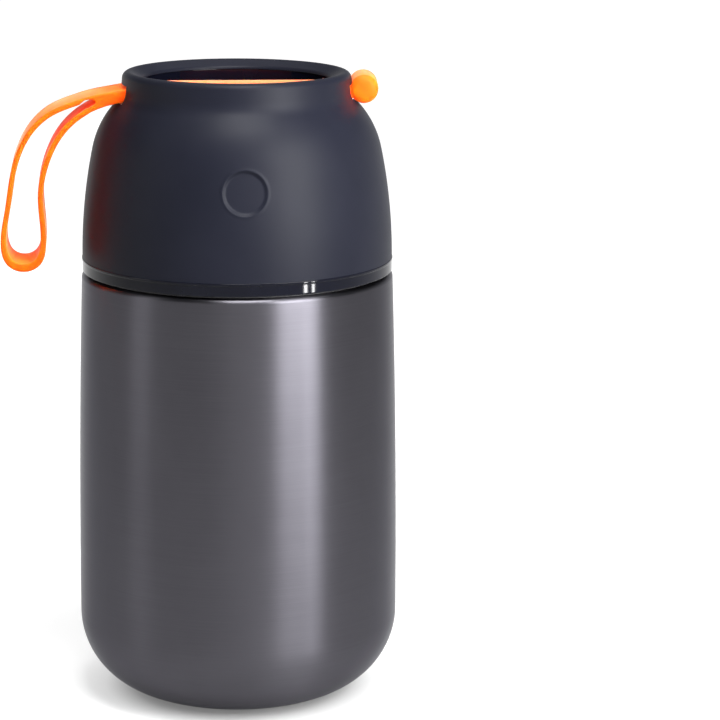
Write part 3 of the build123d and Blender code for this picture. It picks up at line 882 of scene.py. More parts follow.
def thread_tree() -> bpy.types.NodeTree:
    """Adds helical ribs that grow out of a wall and sink back into it at both ends.

    Returns:
        The tree, with inputs for the rib's section, its helix and Material.
    """
    names = ("Wall", "Height", "Sink", "Foot", "Crest", "Start", "Lead", "Sweep", "Turn", "Run Out")
    kinds = {**{name: "Float" for name in names}, "Starts": "Int", "Steps": "Int", "Material": "Material"}
    g = GeometryTree("thread", kinds)
    steps = g.math("ADD", g.inputs["Steps"], 1.0)
    mesh, row, column = g.grid_places(5, steps)
    share = g.math("DIVIDE", column, g.inputs["Steps"])
    from_end = g.math("MINIMUM", share, g.math("SUBTRACT", 1.0, share))
    grow = g.smooth_step(from_end, 0.0, g.inputs["Run Out"], 0.0, 1.0)
    # The section's four corners run foot, crest, crest, foot, and the fifth row closes on the first.
    corner = g.math("WRAP", row, 4.0, 0.0)
    at_crest = g.math("COMPARE", corner, 1.5, 0.6)
    upper = g.math("GREATER_THAN", corner, 1.5)
    side = g.math("SUBTRACT", g.math("MULTIPLY", upper, 2.0), 1.0)
    foot_half = g.math("MULTIPLY", g.inputs["Foot"], 0.5)
    crest_half = g.math("MULTIPLY", g.inputs["Crest"], 0.5)
    narrowing = g.math("MULTIPLY", at_crest, g.math("SUBTRACT", foot_half, crest_half))
    half = g.math("SUBTRACT", foot_half, narrowing)
    out = g.math("MULTIPLY", at_crest, g.math("ADD", g.inputs["Height"], g.inputs["Sink"]))
    root = g.math("SUBTRACT", g.inputs["Wall"], g.inputs["Sink"])
    radius = g.math("ADD", root, g.math("MULTIPLY", out, grow))
    sweep = g.math("MULTIPLY", share, g.inputs["Sweep"])
    climb = g.math("MULTIPLY", g.math("DIVIDE", sweep, math.tau), g.inputs["Lead"])
    middle = g.math("ADD", g.inputs["Start"], climb)
    height = g.math("ADD", middle, g.math("MULTIPLY", g.math("MULTIPLY", side, half), grow))
    angle = g.math("ADD", sweep, g.inputs["Turn"])
    rib = g.move(mesh, Position=g.polar(radius, angle, height))
    seats = g.add("GeometryNodeMeshLine", {"Count": g.inputs["Starts"], "Offset": (0.0, 0.0, 0.0)})
    seat = g.add("GeometryNodeInputIndex").outputs[0]
    spin = g.math("MULTIPLY", seat, g.math("DIVIDE", math.tau, g.inputs["Starts"]))
    ribs = g.add(
        "GeometryNodeInstanceOnPoints",
        {"Points": seats.outputs[0], "Instance": rib, "Rotation": g.vector(0.0, 0.0, spin)},
    )
    return g.finish(ribs.outputs[0], g.inputs["Material"])


def coil_tree() -> bpy.types.NodeTree:
    """Winds a spring of round wire about Z.

    Returns:
        The tree, with inputs Radius, Wire, Low, High, Turns, Steps, Sides and Material.
    """
    names = ("Radius", "Wire", "Low", "High", "Turns")
    kinds = {**{name: "Float" for name in names}, "Steps": "Int", "Sides": "Int", "Material": "Material"}
    g = GeometryTree("coil", kinds)
    spiral = g.add(
        "GeometryNodeCurveSpiral",
        {
            "Resolution": g.inputs["Steps"], "Rotations": g.inputs["Turns"],
            "Start Radius": g.inputs["Radius"], "End Radius": g.inputs["Radius"],
            "Height": g.math("SUBTRACT", g.inputs["High"], g.inputs["Low"]),
        },
    )
    raised = g.add(
        "GeometryNodeTransform",
        {"Geometry": spiral.outputs[0], "Translation": g.vector(0.0, 0.0, g.inputs["Low"])},
    )
    section = g.add(
        "GeometryNodeCurvePrimitiveCircle",
        {"Resolution": g.inputs["Sides"], "Radius": g.math("MULTIPLY", g.inputs["Wire"], 0.5)},
    )
    wire = g.add(
        "GeometryNodeCurveToMesh",
        {"Curve": raised.outputs[0], "Profile Curve": section.outputs[0], "Fill Caps": True},
    )
    return g.finish(wire.outputs[0], g.inputs["Material"])


# ---------------------------------------------------------------- mesh helpers


def add_object(name: str, mesh: bpy.types.Mesh) -> bpy.types.Object:
    """Link a mesh into the scene as an object at the origin.

    Args:
        name: The object's name.
        mesh: The mesh.

    Returns:
        The object.
    """
    piece = bpy.data.objects.new(name, mesh)
    bpy.context.scene.collection.objects.link(piece)
    return piece


def outline_object(name: str, points: Iterable[Point]) -> bpy.types.Object:
    """An object that holds a closed outline's points, in metres, with Z up.

    Args:
        name: The object's name.
        points: Radius and height of each point, in millimetres.

    Returns:
        The object, whose last vertex closes on its first.
    """
    places = [(radius * MM, 0.0, height * MM) for radius, height in points]
    mesh = bpy.data.meshes.new(name)
    mesh.from_pydata(places + places[:1], [], [])
    return add_object(name, mesh)


def run_tree(piece: bpy.types.Object, tree: bpy.types.NodeTree, **values: Any) -> bpy.types.Object:
    """Run a Geometry Nodes tree on an object and keep its result as a plain mesh.

    Args:
        piece: The object, whose mesh is the tree's input.
        tree: The tree.
        values: Value for each named input, with underscores for spaces.

    Returns:
        The same object, with no modifier left.
    """
    modifier = piece.modifiers.new(tree.name, "NODES")
    modifier.node_group = tree
    sockets = {
        item.name: item.identifier
        for item in tree.interface.items_tree
        if item.item_type == "SOCKET" and item.in_out == "INPUT"
    }
    for name, value in values.items():
        modifier[sockets[name.replace("_", " ")]] = value
    return plain(piece)


def plain(piece: bpy.types.Object) -> bpy.types.Object:
    """Turn an object's evaluated shape into its plain mesh and drop its modifiers.

    Args:
        piece: The object with its modifiers.

    Returns:
        The same object, with none.
    """
    bpy.context.view_layer.update()
    graph = bpy.context.evaluated_depsgraph_get()
    mesh = bpy.data.meshes.new_from_object(
        piece.evaluated_get(graph), preserve_all_data_layers=True, depsgraph=graph
    )
    mesh.name = piece.name
    piece.modifiers.clear()
    piece.data = mesh
    return piece


def turned(
    name: str, outline: Outline, finish: Any, columns: int = 192, gather: float = 0.0
) -> bpy.types.Object:
    """Turn an outline about Z into a dressed piece.

    Args:
        name: The piece's name.
        outline: The closed outline, with its outside running upwards.
        finish: The piece's finish.
        columns: Columns round the piece.
        gather: How much the columns gather about -Y, from 0 to below 1.

    Returns:
        The piece.
    """
    piece = outline_object(name, outline.points)
    return run_tree(
        piece, Trees.of(turned_tree), Columns=columns, Gather=gather, Facing=-math.pi / 2,
        Material=Finishes.of(finish),
    )


def box_cutter(low: Sequence[float], high: Sequence[float]) -> bpy.types.Object:
    """A plain box to cut with.

    Args:
        low: Its lowest corner, in millimetres.
        high: Its highest corner, in millimetres.

    Returns:
        The box.
    """
    mesh = bpy.data.meshes.new("cutter")
    shape = bmesh.new()
    bmesh.ops.create_cube(shape, size=1.0)
    centre = [(a + b) / 2 * MM for a, b in zip(low, high)]
    scale = [(b - a) * MM for a, b in zip(low, high)]
    place = Matrix.Translation(centre) @ Matrix.Diagonal((*scale, 1.0))
    bmesh.ops.transform(shape, matrix=place, verts=shape.verts)
    shape.to_mesh(mesh)
    shape.free()
    return add_object("cutter", mesh)


def combine(piece: bpy.types.Object, other: bpy.types.Object, operation: str) -> bpy.types.Object:
    """Join or cut a piece by another solid, which is then removed.

    Args:
        piece: The piece to change.
        other: The solid to join or cut with.
        operation: DIFFERENCE or UNION.

    Returns:
        The changed piece.
    """
    modifier = piece.modifiers.new("combine", "BOOLEAN")
    modifier.operation = operation
    modifier.solver = "EXACT"
    modifier.object = other
    plain(piece)
    bpy.data.objects.remove(other)
    return piece


def shade(piece: bpy.types.Object) -> bpy.types.Object:
    """Shade a piece smooth, with its sharp edges kept crisp.

    Args:
        piece: The piece, whose doubles are merged.

    Returns:
        The same piece.
    """
    shape = bmesh.new()
    shape.from_mesh(piece.data)
    bmesh.ops.remove_doubles(shape, verts=shape.verts, dist=MERGE)
    for face in shape.faces:
        face.smooth = True
    for edge in shape.edges:
        edge.smooth = len(edge.link_faces) == 2 and edge.calc_face_angle(math.pi) < SMOOTH_ANGLE
    shape.to_mesh(piece.data)
    shape.free()
    return piece


def settle(piece: bpy.types.Object, body: Body, slot: Slot, *nodes: str) -> bpy.types.Object:
    """Let a piece ride on its body in place of its solids, and report it.

    Args:
        piece: The finished piece.
        body: The body that it moves with.
        slot: The record's material slot for the piece; not used.
        nodes: The solids that it stands for.

    Returns:
        The piece.
    """
    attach(piece, body.value)
    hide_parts(*nodes)
    report(piece, body.value)
    return piece


def report(piece: bpy.types.Object, body: str) -> None:
    """Log one piece with its body and its number of faces."""
    log.info("%s on %s: %d faces", piece.name, body, len(piece.data.polygons))


def dress(finishes: dict[str, Any]) -> None:
    """Give each named solid its finish and report it.

    Args:
        finishes: Finish for each solid's name.
    """
    for node, finish in finishes.items():
        piece = frame["nodes"][node]
        piece.data.materials.clear()
        piece.data.materials.append(Finishes.of(finish))
        report(piece, piece["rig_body"])


# ---------------------------------------------------------------- sub-assemblies


@dataclass
class Threads:
    """Sizes that the lid's and the stopper's threads share."""

    lead: float = 12.0
    starts: int = 2
    clearance: float = 0.5
    sink: float = 0.5
    lid_sweep: float = 140.0
    stopper_sweep: float = 95.0
    run_out: float = 0.09
    steps: int = 96

    @property
    def half_pitch(self) -> float:
        """Height between a rib and the facing thread's rib."""
        return self.lead / self.starts / 2

    def ribs(
        self, name: str, wall: float, height: float, base: float, crest: float, start: float, sweep: float,
        finish: Any,
    ) -> bpy.types.Object:
        """Ribs on a wall.

        Args:
            name: The object's name.
            wall: The wall's radius.
            height: Radial height, negative where the ribs point inwards.
            base: Width at the wall.
            crest: Width at the crest.
            start: Height of the rib's first middle point.
            sweep: Degrees that a rib runs.
            finish: The ribs' finish.

        Returns:
            The ribs as one object.
        """
        sense = 1 if height > 0 else -1
        foot = base + (base - crest) * self.sink / abs(height)
        piece = add_object(name, bpy.data.meshes.new(name))
        return run_tree(
            piece, Trees.of(thread_tree), Wall=wall * MM, Height=height * MM, Sink=sense * self.sink * MM,
            Foot=foot * MM, Crest=crest * MM, Start=start * MM, Lead=self.lead * MM,
            Sweep=math.radians(sweep), Turn=0.0, Run_Out=self.run_out, Starts=self.starts, Steps=self.steps,
            Material=Finishes.of(finish),
        )


@dataclass
class SteelBody:
    """The double-walled steel body: its outer shell, vessel, base and gasket."""

    radius: float = 52.3
    shoulder_radius: float = 50.4
    shoulder_edge: float = 1.6
    shoulder: float = 140.2
    bottom: float = 0.6
    bottom_bend: float = 26.0
    sheet: float = 0.6
    base_opening: float = 22.0
    neck_radius: float = 41.2
    neck_foot_bend: float = 0.6
    lip: float = 152.0
    lip_bend: float = 0.9
    mouth_radius: float = 35.6

    def side(self, inset: float, upwards: bool) -> list[Point]:
        """The shell's side, from the bottom bend to the shoulder's edge.

        Args:
            inset: How far inside the outer face.
            upwards: Whether the points run upwards.

        Returns:
            The side's points.
        """
        run = Outline()
        bend_centre = (self.radius - self.bottom_bend, self.bottom + self.bottom_bend)
        edge_centre = (self.shoulder_radius - self.shoulder_edge, self.shoulder - self.shoulder_edge)
        edge = self.shoulder_edge - inset
        run.arc(bend_centre, self.bottom_bend - inset, -90, 90, step=2.5)
        run.curve_to(run.points[-1], (0.0, 1.0), (edge_centre[0] + edge, edge_centre[1]), steps=36)
        run.arc(edge_centre, edge, 0, 90, step=9)
        return run.points if upwards else run.points[::-1]

    def shell(self) -> bpy.types.Object:
        """The brushed outer shell, turned from one sheet.

        Returns:
            The piece, not settled yet.
        """
        neck_inside = self.neck_radius - self.sheet
        outline = Outline().to((self.base_opening, self.bottom), *self.side(0.0, upwards=True))
        outline.rounded([
            (outline.points[-1], 0.0),
            ((self.neck_radius, self.shoulder), self.neck_foot_bend),
            ((self.neck_radius, self.lip), self.lip_bend),
            ((self.mouth_radius, self.lip), 0.0),
        ])
        outline.rounded([
            ((self.mouth_radius, self.lip - self.sheet), 0.0),
            ((neck_inside, self.lip - self.sheet), self.lip_bend - self.sheet),
            ((neck_inside, self.shoulder - self.sheet), self.neck_foot_bend + self.sheet),
            ((self.shoulder_radius - self.shoulder_edge, self.shoulder - self.sheet), 0.0),
        ])
        outline.to(*self.side(self.sheet, upwards=False), (self.base_opening, self.bottom + self.sheet))
        return turned("body_shell", outline, Finishes.BODY, columns=240)

    def build(self) -> None:
        """Build and dress the body's pieces."""
        settle(self.shell(), Body.ROOT, Slot.BODY_STEEL, "outer_shell")
        dress({
            "inner_vessel": Finishes.BARE, "base_plate": Finishes.BARE, "vacuum_plug": Finishes.SOLDER,
            "getter": Finishes.SOLDER, "base_pad": Finishes.PAD, "collar_gasket": Finishes.SEAL,
        })


@dataclass
class NeckCollar:
    """Plastic ring round the steel neck, threaded outside for the lid and inside for the stopper."""

    threads: Threads
    body: SteelBody
    radius: float = 43.4
    bore: float = 38.6
    top: float = 163.0
    foot: float = 1.2
    gasket: float = 1.2
    edge: float = 1.2
    bore_edge: float = 0.6
    outer_height: float = 1.9
    inner_height: float = 1.7
    outer_rib: Point = (2.6, 1.4)
    inner_rib: Point = (2.2, 1.2)
    outer_start: float = 6.8
    inner_start: float = 6.5

    def build(self) -> None:
        """Build the collar with both threads' ribs."""
        seat = self.body.lip + self.gasket
        outline = Outline().rounded([
            ((self.body.neck_radius + self.foot, self.body.shoulder), 0.0),
            ((self.radius, self.body.shoulder), 0.0),
            ((self.radius, self.top), self.edge),
            ((self.bore, self.top), self.bore_edge),
            ((self.bore, seat), 0.0),
            ((self.body.neck_radius, seat), 0.0),
            ((self.body.neck_radius, self.body.shoulder + self.foot), 0.0),
        ])
        ring = turned("collar", outline, Finishes.SATIN)
        outer = self.threads.ribs(
            "outer_ribs", self.radius, self.outer_height, *self.outer_rib,
            self.body.shoulder + self.outer_start, self.threads.lid_sweep, Finishes.SATIN,
        )
        inner = self.threads.ribs(
            "inner_ribs", self.bore, -self.inner_height, *self.inner_rib,
            self.body.lip + self.inner_start, self.threads.stopper_sweep, Finishes.SATIN,
        )
        ring = shade(combine(combine(ring, outer, "UNION"), inner, "UNION"))
        settle(ring, Body.ROOT, Slot.DARK_PLASTIC, "neck_collar")


@dataclass
class Stopper:
    """The vented screw stopper with its pressure valve."""

    threads: Threads
    collar: NeckCollar
    plug_radius: float = 34.2
    plug_bottom: float = 130.0
    step: float = 154.2
    wall: float = 2.0
    top_radius: float = 41.6
    top: float = 168.6
    flange: float = 5.0
    flange_edge: float = 0.5
    edge: float = 1.2
    well_radius: float = 11.3
    well_edge: float = 0.3
    well_floor: float = 157.6
    well_wall: float = 2.0
    tube_bore: float = 2.4
    tube_wall: float = 1.4
    cover: float = 2.0
    grips: int = 24
    grip_half_width: float = 2.4
    grip_depth: float = 0.9
    grip_rim: float = 1.4
    spring_radius: float = 5.6
    spring_wire: float = 0.8
    spring_low: float = 158.3
    spring_high: float = 168.7
    spring_turns: float = 4.0
    spring_steps: int = 48
    spring_sides: int = 14

    def shell(self) -> bpy.types.Object:
        """The stopper's body: plug, thread, grip flange, well and stem tube.

        Returns:
            The piece, not settled yet.
        """
        crest = self.collar.bore - self.collar.inner_height
        wall = crest - self.threads.clearance
        cavity = self.plug_radius - self.wall
        cover_top = self.plug_bottom + self.cover
        tube = self.tube_bore + self.tube_wall
        well = self.well_radius + self.well_wall
        outline = Outline().rounded([
            ((self.plug_radius, self.plug_bottom), 0.0),
            ((self.plug_radius, self.step), 0.0),
            ((wall, self.step), 0.0),
            ((wall, self.top - self.flange), 0.0),
            ((self.top_radius, self.top - self.flange), self.flange_edge),
            ((self.top_radius, self.top), self.edge),
            ((self.well_radius, self.top), self.well_edge),
            ((self.well_radius, self.well_floor), 0.0),
            ((self.tube_bore, self.well_floor), 0.0),
            ((self.tube_bore, cover_top), 0.0),
            ((tube, cover_top), 0.0),
            ((tube, self.well_floor - self.well_wall), 0.0),
            ((well, self.well_floor - self.well_wall), 0.0),
            ((well, self.top - self.wall), 0.0),
            ((cavity, self.top - self.wall), 0.0),
            ((cavity, self.plug_bottom), 0.0),
        ])
        piece = turned("stopper_shell", outline, Finishes.SATIN, columns=480)
        run_tree(
            piece, Trees.of(scallop_tree), Count=self.grips, Half_Width=self.grip_half_width * MM,
            Depth=self.grip_depth * MM, From_Radius=(self.top_radius - self.grip_rim) * MM,
            Material=Finishes.of(Finishes.SATIN),
        )
        ribs = self.threads.ribs(
            "stopper_ribs", wall, self.collar.bore - self.threads.clearance - wall, *self.collar.inner_rib,
            self.collar.body.lip + self.collar.inner_start - self.threads.half_pitch,
            self.threads.stopper_sweep, Finishes.SATIN,
        )
        return shade(combine(piece, ribs, "UNION"))

    def spring(self) -> bpy.types.Object:
        """The valve's return spring.

        Returns:
            The piece, not settled yet.
        """
        piece = add_object("return_spring", bpy.data.meshes.new("return_spring"))
        return run_tree(
            piece, Trees.of(coil_tree), Radius=self.spring_radius * MM, Wire=self.spring_wire * MM,
            Low=self.spring_low * MM, High=self.spring_high * MM, Turns=self.spring_turns,
            Steps=self.spring_steps, Sides=self.spring_sides, Material=Finishes.of(Finishes.BARE),
        )

    def build(self) -> None:
        """Build and dress the stopper's pieces."""
        settle(self.shell(), Body.STOPPER, Slot.DARK_PLASTIC, "stopper_body")
        spring = settle(self.spring(), Body.STOPPER, Slot.BARE_STEEL, "valve_spring")
        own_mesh(spring)
        dress({
            "stopper_insulation": Finishes.FOAM, "stopper_base": Finishes.SATIN,
            "button_bezel": Finishes.GLOSS, "pressure_button": Finishes.BUTTON,
            "valve_stem": Finishes.SATIN, "valve_seal": Finishes.SEAL, "stem_clip": Finishes.BARE,
            "stopper_seal": Finishes.SEAL,
        })


@dataclass
class Lid:
    """The screw-on bowl lid: soft-touch shell, gloss bowl and recess cup."""

    threads: Threads
    collar: NeckCollar
    crest: float = 204.85
    edge: float = 141.0
    band: float = 4.2
    band_radius: float = 50.3
    band_edge: float = 0.3
    band_hold: float = 0.55
    ridge: float = 0.16
    ridge_height: float = 0.7
    ridge_edge: float = 0.1
    base_radius: float = 50.1
    knee: Point = (46.4, 180.6)
    brow: Point = (39.2, 194.6)
    neck_radius: float = 37.2
    neck_foot: float = 197.0
    neck_blend: float = 8.0
    rim_radius: float = 36.4
    rim_slope: float = 28.0
    rim_edge: float = 2.2
    rim_inner_edge: float = 1.3
    wall: float = 2.0
    lip_radius: float = 29.9
    recess_radius: float = 30.1
    recess_top: float = 202.3
    recess_floor: float = 190.0
    recess_wall: float = 1.6
    recess_bend: float = 3.0
    recess_edge: float = 0.4
    rim_flesh: float = 3.4
    skin_gap: float = 0.2
    liner_wall: float = 1.8
    liner_bore: float = 45.8
    liner_radius: float = 47.9
    liner_top_radius: float = 42.6
    liner_straight: float = 152.0
    liner_bend: float = 9.0
    thread_height: float = 1.8
    rib: Point = (2.4, 1.4)
    seal_groove: Point = (48.75, 142.1)
    roundel_height: float = 172.8
    roundel_radius: float = 7.1
    roundel_wall: float = 1.3
    roundel_depth: float = 0.4
    roundel_dish: float = 0.3
    roundel_bead: float = 0.16
    roundel_bead_width: float = 0.5
    roundel_reach: float = 1.5
    roundel_facing: float = -0.2
    fine_inset: float = 0.5
    fine_step: float = 0.25
    slot_half_width: float = 10.15
    slot_bottom: float = 195.6
    toggle_slot_bottom: float = 196.8
    slot_top: float = 201.25

    @property
    def band_top(self) -> float:
        """Height of the gloss band's top."""
        return self.edge + self.band

    def dome(self, grow: float) -> list[Point]:
        """The dome's side from the band to the brow, moved outwards.

        Args:
            grow: How far the side is moved.

        Returns:
            The side's points, upwards.
        """
        run = Outline()
        knee = (self.knee[0] + grow, self.knee[1])
        turn = run.curve_to((self.base_radius + grow, self.band_top), (0.0, 1.0), knee, steps=30)
        run.curve_to(knee, turn, (self.brow[0] + grow, self.brow[1]), steps=22)
        return run.points

    def shell(self) -> bpy.types.Object:
        """The soft-touch shell with its rim, slots and roundel.

        Returns:
            The piece, not settled yet.
        """
        slope = math.radians(self.rim_slope)
        corner = self.crest + self.rim_edge * (math.tan(slope) + 1 / math.cos(slope) - 1)
        inner = corner - (self.rim_radius - self.lip_radius) * math.tan(slope)
        cup = self.recess_radius + self.recess_wall + self.skin_gap
        outline = Outline().to(*self.dome(0.0))
        outline.rounded([
            (self.brow, 0.0),
            ((self.neck_radius, self.neck_foot), self.neck_blend),
            ((self.rim_radius, corner), self.rim_edge),
            ((self.lip_radius, inner), self.rim_inner_edge),
            ((self.lip_radius, self.recess_top), 0.0),
            ((cup, self.recess_top), 0.0),
            ((cup, self.crest - self.rim_flesh), 0.0),
            ((self.rim_radius - self.wall, self.crest - self.rim_flesh), 0.0),
            ((self.neck_radius - self.wall, self.neck_foot - self.wall / 2), 0.0),
        ], step=6.0)
        outline.to(*self.dome(-self.wall)[::-1])
        reach = self.roundel_radius + 2 * self.roundel_bead_width
        low, high = self.roundel_height - reach, self.roundel_height + reach
        outline.fine_between(low, high, self.knee[0] - self.fine_inset, self.fine_step)
        piece = turned("lid_soft_shell", outline, Finishes.SOFT, columns=360, gather=0.75)
        run_tree(
            piece, Trees.of(roundel_tree), Height=self.roundel_height * MM, Radius=self.roundel_radius * MM,
            Wall=self.roundel_wall * MM, Depth=self.roundel_depth * MM, Dish=self.roundel_dish * MM,
            Bead=self.roundel_bead * MM, Bead_Width=self.roundel_bead_width * MM,
            Reach=self.roundel_reach, Facing=self.roundel_facing, Material=Finishes.of(Finishes.SOFT),
        )
        return self.cut_slots(piece)

    def cut_slots(self, piece: bpy.types.Object) -> bpy.types.Object:
        """Cut both strap slots out of a piece.

        Args:
            piece: The lid's shell or its recess.

        Returns:
            The same piece.
        """
        half, reach = self.slot_half_width, self.base_radius
        for near, far, bottom in ((-reach, 0.0, self.slot_bottom), (0.0, reach, self.toggle_slot_bottom)):
            slot = box_cutter((near, -half, bottom), (far, half, self.slot_top))
            combine(piece, slot, "DIFFERENCE")
        return shade(piece)

    def bowl(self) -> bpy.types.Object:
        """The gloss bowl: band, threaded side, cone and ceiling.

        Returns:
            The piece, not settled yet.
        """
        top = self.recess_floor - self.recess_wall
        ceiling = top - self.liner_wall
        groove, groove_top = self.seal_groove
        side, ridge = self.band_radius - self.ridge, self.band_top - self.ridge_height
        outline = Outline().rounded([
            ((groove, self.edge), 0.0),
            ((side, self.edge), self.band_edge),
            ((side, self.edge + self.band_hold), 0.0),
            ((side, ridge - self.band_hold), 0.0),
            ((side, ridge - self.ridge), self.ridge_edge),
            ((self.band_radius, ridge), self.ridge_edge),
            ((self.band_radius, self.band_top), self.band_edge / 2),
            ((self.liner_radius, self.band_top), 0.0),
            ((self.liner_radius, self.liner_straight), 0.0),
            ((self.liner_top_radius, top), self.liner_bend),
            ((0.0, top), 0.0),
        ])
        outline.rounded([
            ((0.0, ceiling), 0.0),
            ((self.liner_top_radius - self.liner_wall, ceiling), self.liner_bend - self.liner_wall),
            ((self.liner_bore, self.liner_straight), 0.0),
            ((self.liner_bore, groove_top), 0.0),
            ((groove, groove_top), 0.0),
            ((groove, self.edge), 0.0),
        ])
        piece = turned("lid_bowl", outline, Finishes.GLOSS, columns=240)
        ribs = self.threads.ribs(
            "lid_ribs", self.liner_bore, -self.thread_height, *self.rib,
            self.collar.body.shoulder + self.collar.outer_start - self.threads.half_pitch,
            self.threads.lid_sweep, Finishes.GLOSS,
        )
        return shade(combine(piece, ribs, "UNION"))

    def cup(self) -> bpy.types.Object:
        """The gloss recess inside the rim, open to both strap slots.

        Returns:
            The piece, not settled yet.
        """
        outer = self.recess_radius + self.recess_wall
        outline = Outline().rounded([
            ((0.0, self.recess_floor - self.recess_wall), 0.0),
            ((outer, self.recess_floor - self.recess_wall), self.recess_wall),
            ((outer, self.recess_top), self.recess_edge),
            ((self.recess_radius, self.recess_top), self.recess_edge),
            ((self.recess_radius, self.recess_floor), self.recess_bend),
            ((0.0, self.recess_floor), 0.0),
        ])
        piece = turned("lid_recess", outline, Finishes.GLOSS)
        return self.cut_slots(piece)

    def build(self) -> None:
        """Build and dress the lid's pieces."""
        settle(self.shell(), Body.LID, Slot.SOFT_TOUCH, "lid_shell")
        settle(self.bowl(), Body.LID, Slot.GLOSS, "bowl_liner")
        settle(self.cup(), Body.LID, Slot.GLOSS, "recess_cup")
        dress({"lid_seal": Finishes.LID_SEAL})


@dataclass
class Strap:
    """The one-piece silicone strap: band, T-bar toggle and finger loop."""

    width: float = 20.0
    thickness: float = 3.8
    middle: float = 198.9
    edge: float = 0.5
    toggle_x: float = 40.75
    toggle_rise: float = 0.9
    toggle_radius: float = 4.6
    toggle_length: float = 18.8
    toggle_edge: float = 2.3
    toggle_skew: float = 4.2
    neck_radius: float = 37.0
    tongue: float = 16.0
    tongue_x: float = 34.5
    droop_start: float = 31.0
    root_x: float = -42.2
    root: float = 197.723
    nose_x: float = -44.4
    nose_rise: float = 0.15
    leg: float = 1.7
    bend_thickness: float = 2.6
    reach: float = 30.6
    drop: float = 54.4
    bend_width: float = 12.6
    bend_rise: float = 7.6
    pinch: float = 0.6
    neck_rise: float = 23.5
    fold: float = 4.6
    steps: int = 150
    row: float = 1.1
    band_spans: int = 24
    leave_heading: Point = (-1.0, -0.2)
    return_heading: Point = (1.0, 0.85)
    outer_cuts: Point = (2.6, 2.0)
    hole_cuts: Point = (5.2, 3.6)
    outer_leg: tuple[Point, ...] = (
        (0.284, 0.043), (0.51, 0.100), (0.69, 0.192), (0.818, 0.317), (0.903, 0.489), (0.955, 0.668),
    )
    inner_leg: tuple[Point, ...] = ((0.545, 0.391), (0.395, 0.221), (0.186, 0.107), (0.069, 0.063))
    top_side: tuple[Point, ...] = ((-34.6, 200.45), (-38.2, 199.8), (-41.6, 199.2), (-44.6, 198.7))
    under_side: tuple[Point, ...] = (
        (-44.5, 194.05), (-41.8, 195.0), (-38.7, 195.75), (-35.8, 196.35), (-33.0, 196.8),
    )
    hole_tip: tuple[Point, ...] = (
        (-47.0, 194.75), (-46.1, 195.25), (-45.45, 195.75), (-45.2, 196.25), (-45.45, 196.75),
        (-46.2, 197.05), (-47.3, 197.1), (-48.6, 196.85),
    )

    def leg_place(self, share: Point) -> Point:
        """A place on a leg, given as shares of the loop's reach and drop."""
        return self.nose_x - self.reach * share[0], self.root - self.drop * share[1]

    def leg_points(self) -> np.ndarray:
        """Points of the legs' middle line, from the root's top round the bend to its underside.

        Returns:
            The points, in X and Z.
        """
        half = self.bend_width / 2
        far, low = self.nose_x - self.reach, self.root - self.drop
        corner = half * (1 - math.cos(math.radians(45)))
        places = [(self.nose_x, self.root + self.nose_rise)]
        places += [self.leg_place(share) for share in self.outer_leg]
        places += [
            (far, low + self.bend_rise), (far + corner, low + corner), (far + half, low),
            (far + 2 * half - corner, low + corner), (far + 2 * half, low + self.bend_rise),
            (far + 2 * half - self.pinch, low + self.neck_rise),
        ]
        places += [self.leg_place(share) for share in self.inner_leg]
        places += [(self.nose_x + self.thickness / 6, self.root - self.thickness / 4)]
        return np.array(places, float)

    def legs(self) -> tuple[np.ndarray, np.ndarray]:
        """Outside and inside lines of the legs.

        Returns:
            Points of the outside line and of the inside line, in order.
        """
        line = smooth_line(self.leg_points(), self.leave_heading, self.return_heading, self.steps)
        along = np.gradient(line, axis=0)
        along /= np.linalg.norm(along, axis=1)[:, None]
        low = self.root - self.drop
        near = np.clip(1 - (line[:, 1] - low) / self.bend_width, 0, None)
        half = (self.leg + (self.bend_thickness - self.leg) * near**2) / 2
        out = np.stack([along[:, 1], -along[:, 0]], axis=1) * half[:, None]
        return line + out, line - out

    def past_nose(self, line: np.ndarray, cuts: Point) -> list[Point]:
        """The part of a leg line that lies past the nose.

        Args:
            line: The line's points, down the outer leg and up the inner one.
            cuts: How far past the nose the part starts on the outer leg and ends on the inner one.

        Returns:
            The part's points.
        """
        turn = len(line) // 2
        return [tuple(place) for n, place in enumerate(line) if place[0] < self.nose_x - cuts[n >= turn]]

    def side(self) -> tuple[list[Point], list[Point]]:
        """The strap's side view: its outer outline and the loop's hole.

        Returns:
            The outline's points and the hole's points, in X and Z.
        """
        half = self.thickness / 2
        top, under = self.middle + half, self.middle - half
        outside, inside = self.legs()
        start = self.droop_start
        outer = [(self.toggle_x, top), *even((start, top), (-start, top), self.band_spans), *self.top_side]
        outer += [*self.past_nose(outside, self.outer_cuts), *self.under_side]
        outer += [*even((-start, under), (start, under), self.band_spans), (self.toggle_x, under)]
        hole = [*self.past_nose(inside, self.hole_cuts), *self.hole_tip]
        return fine_line(outer, self.row), fine_line(hole, self.row)

    def build(self) -> None:
        """Build the strap, its toggle and its loop as one fixed piece."""
        outer, hole = self.side()
        piece = slab("strap", outer, hole, self.width, self.edge, Finishes.STRAP)
        for side in (-1, 1):
            sides = sorted((side * self.tongue / 2, side * self.width))
            corner = box_cutter(
                (self.tongue_x, sides[0], self.middle - self.thickness),
                (self.toggle_x + self.thickness, sides[1], self.middle + self.thickness),
            )
            combine(piece, corner, "DIFFERENCE")
        piece = shade(combine(piece, self.toggle(), "UNION"))
        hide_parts("strap_band", "strap_loop")
        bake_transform(piece)
        report(piece, f"{Body.STRAP.value} to {Body.LOOP.value}")

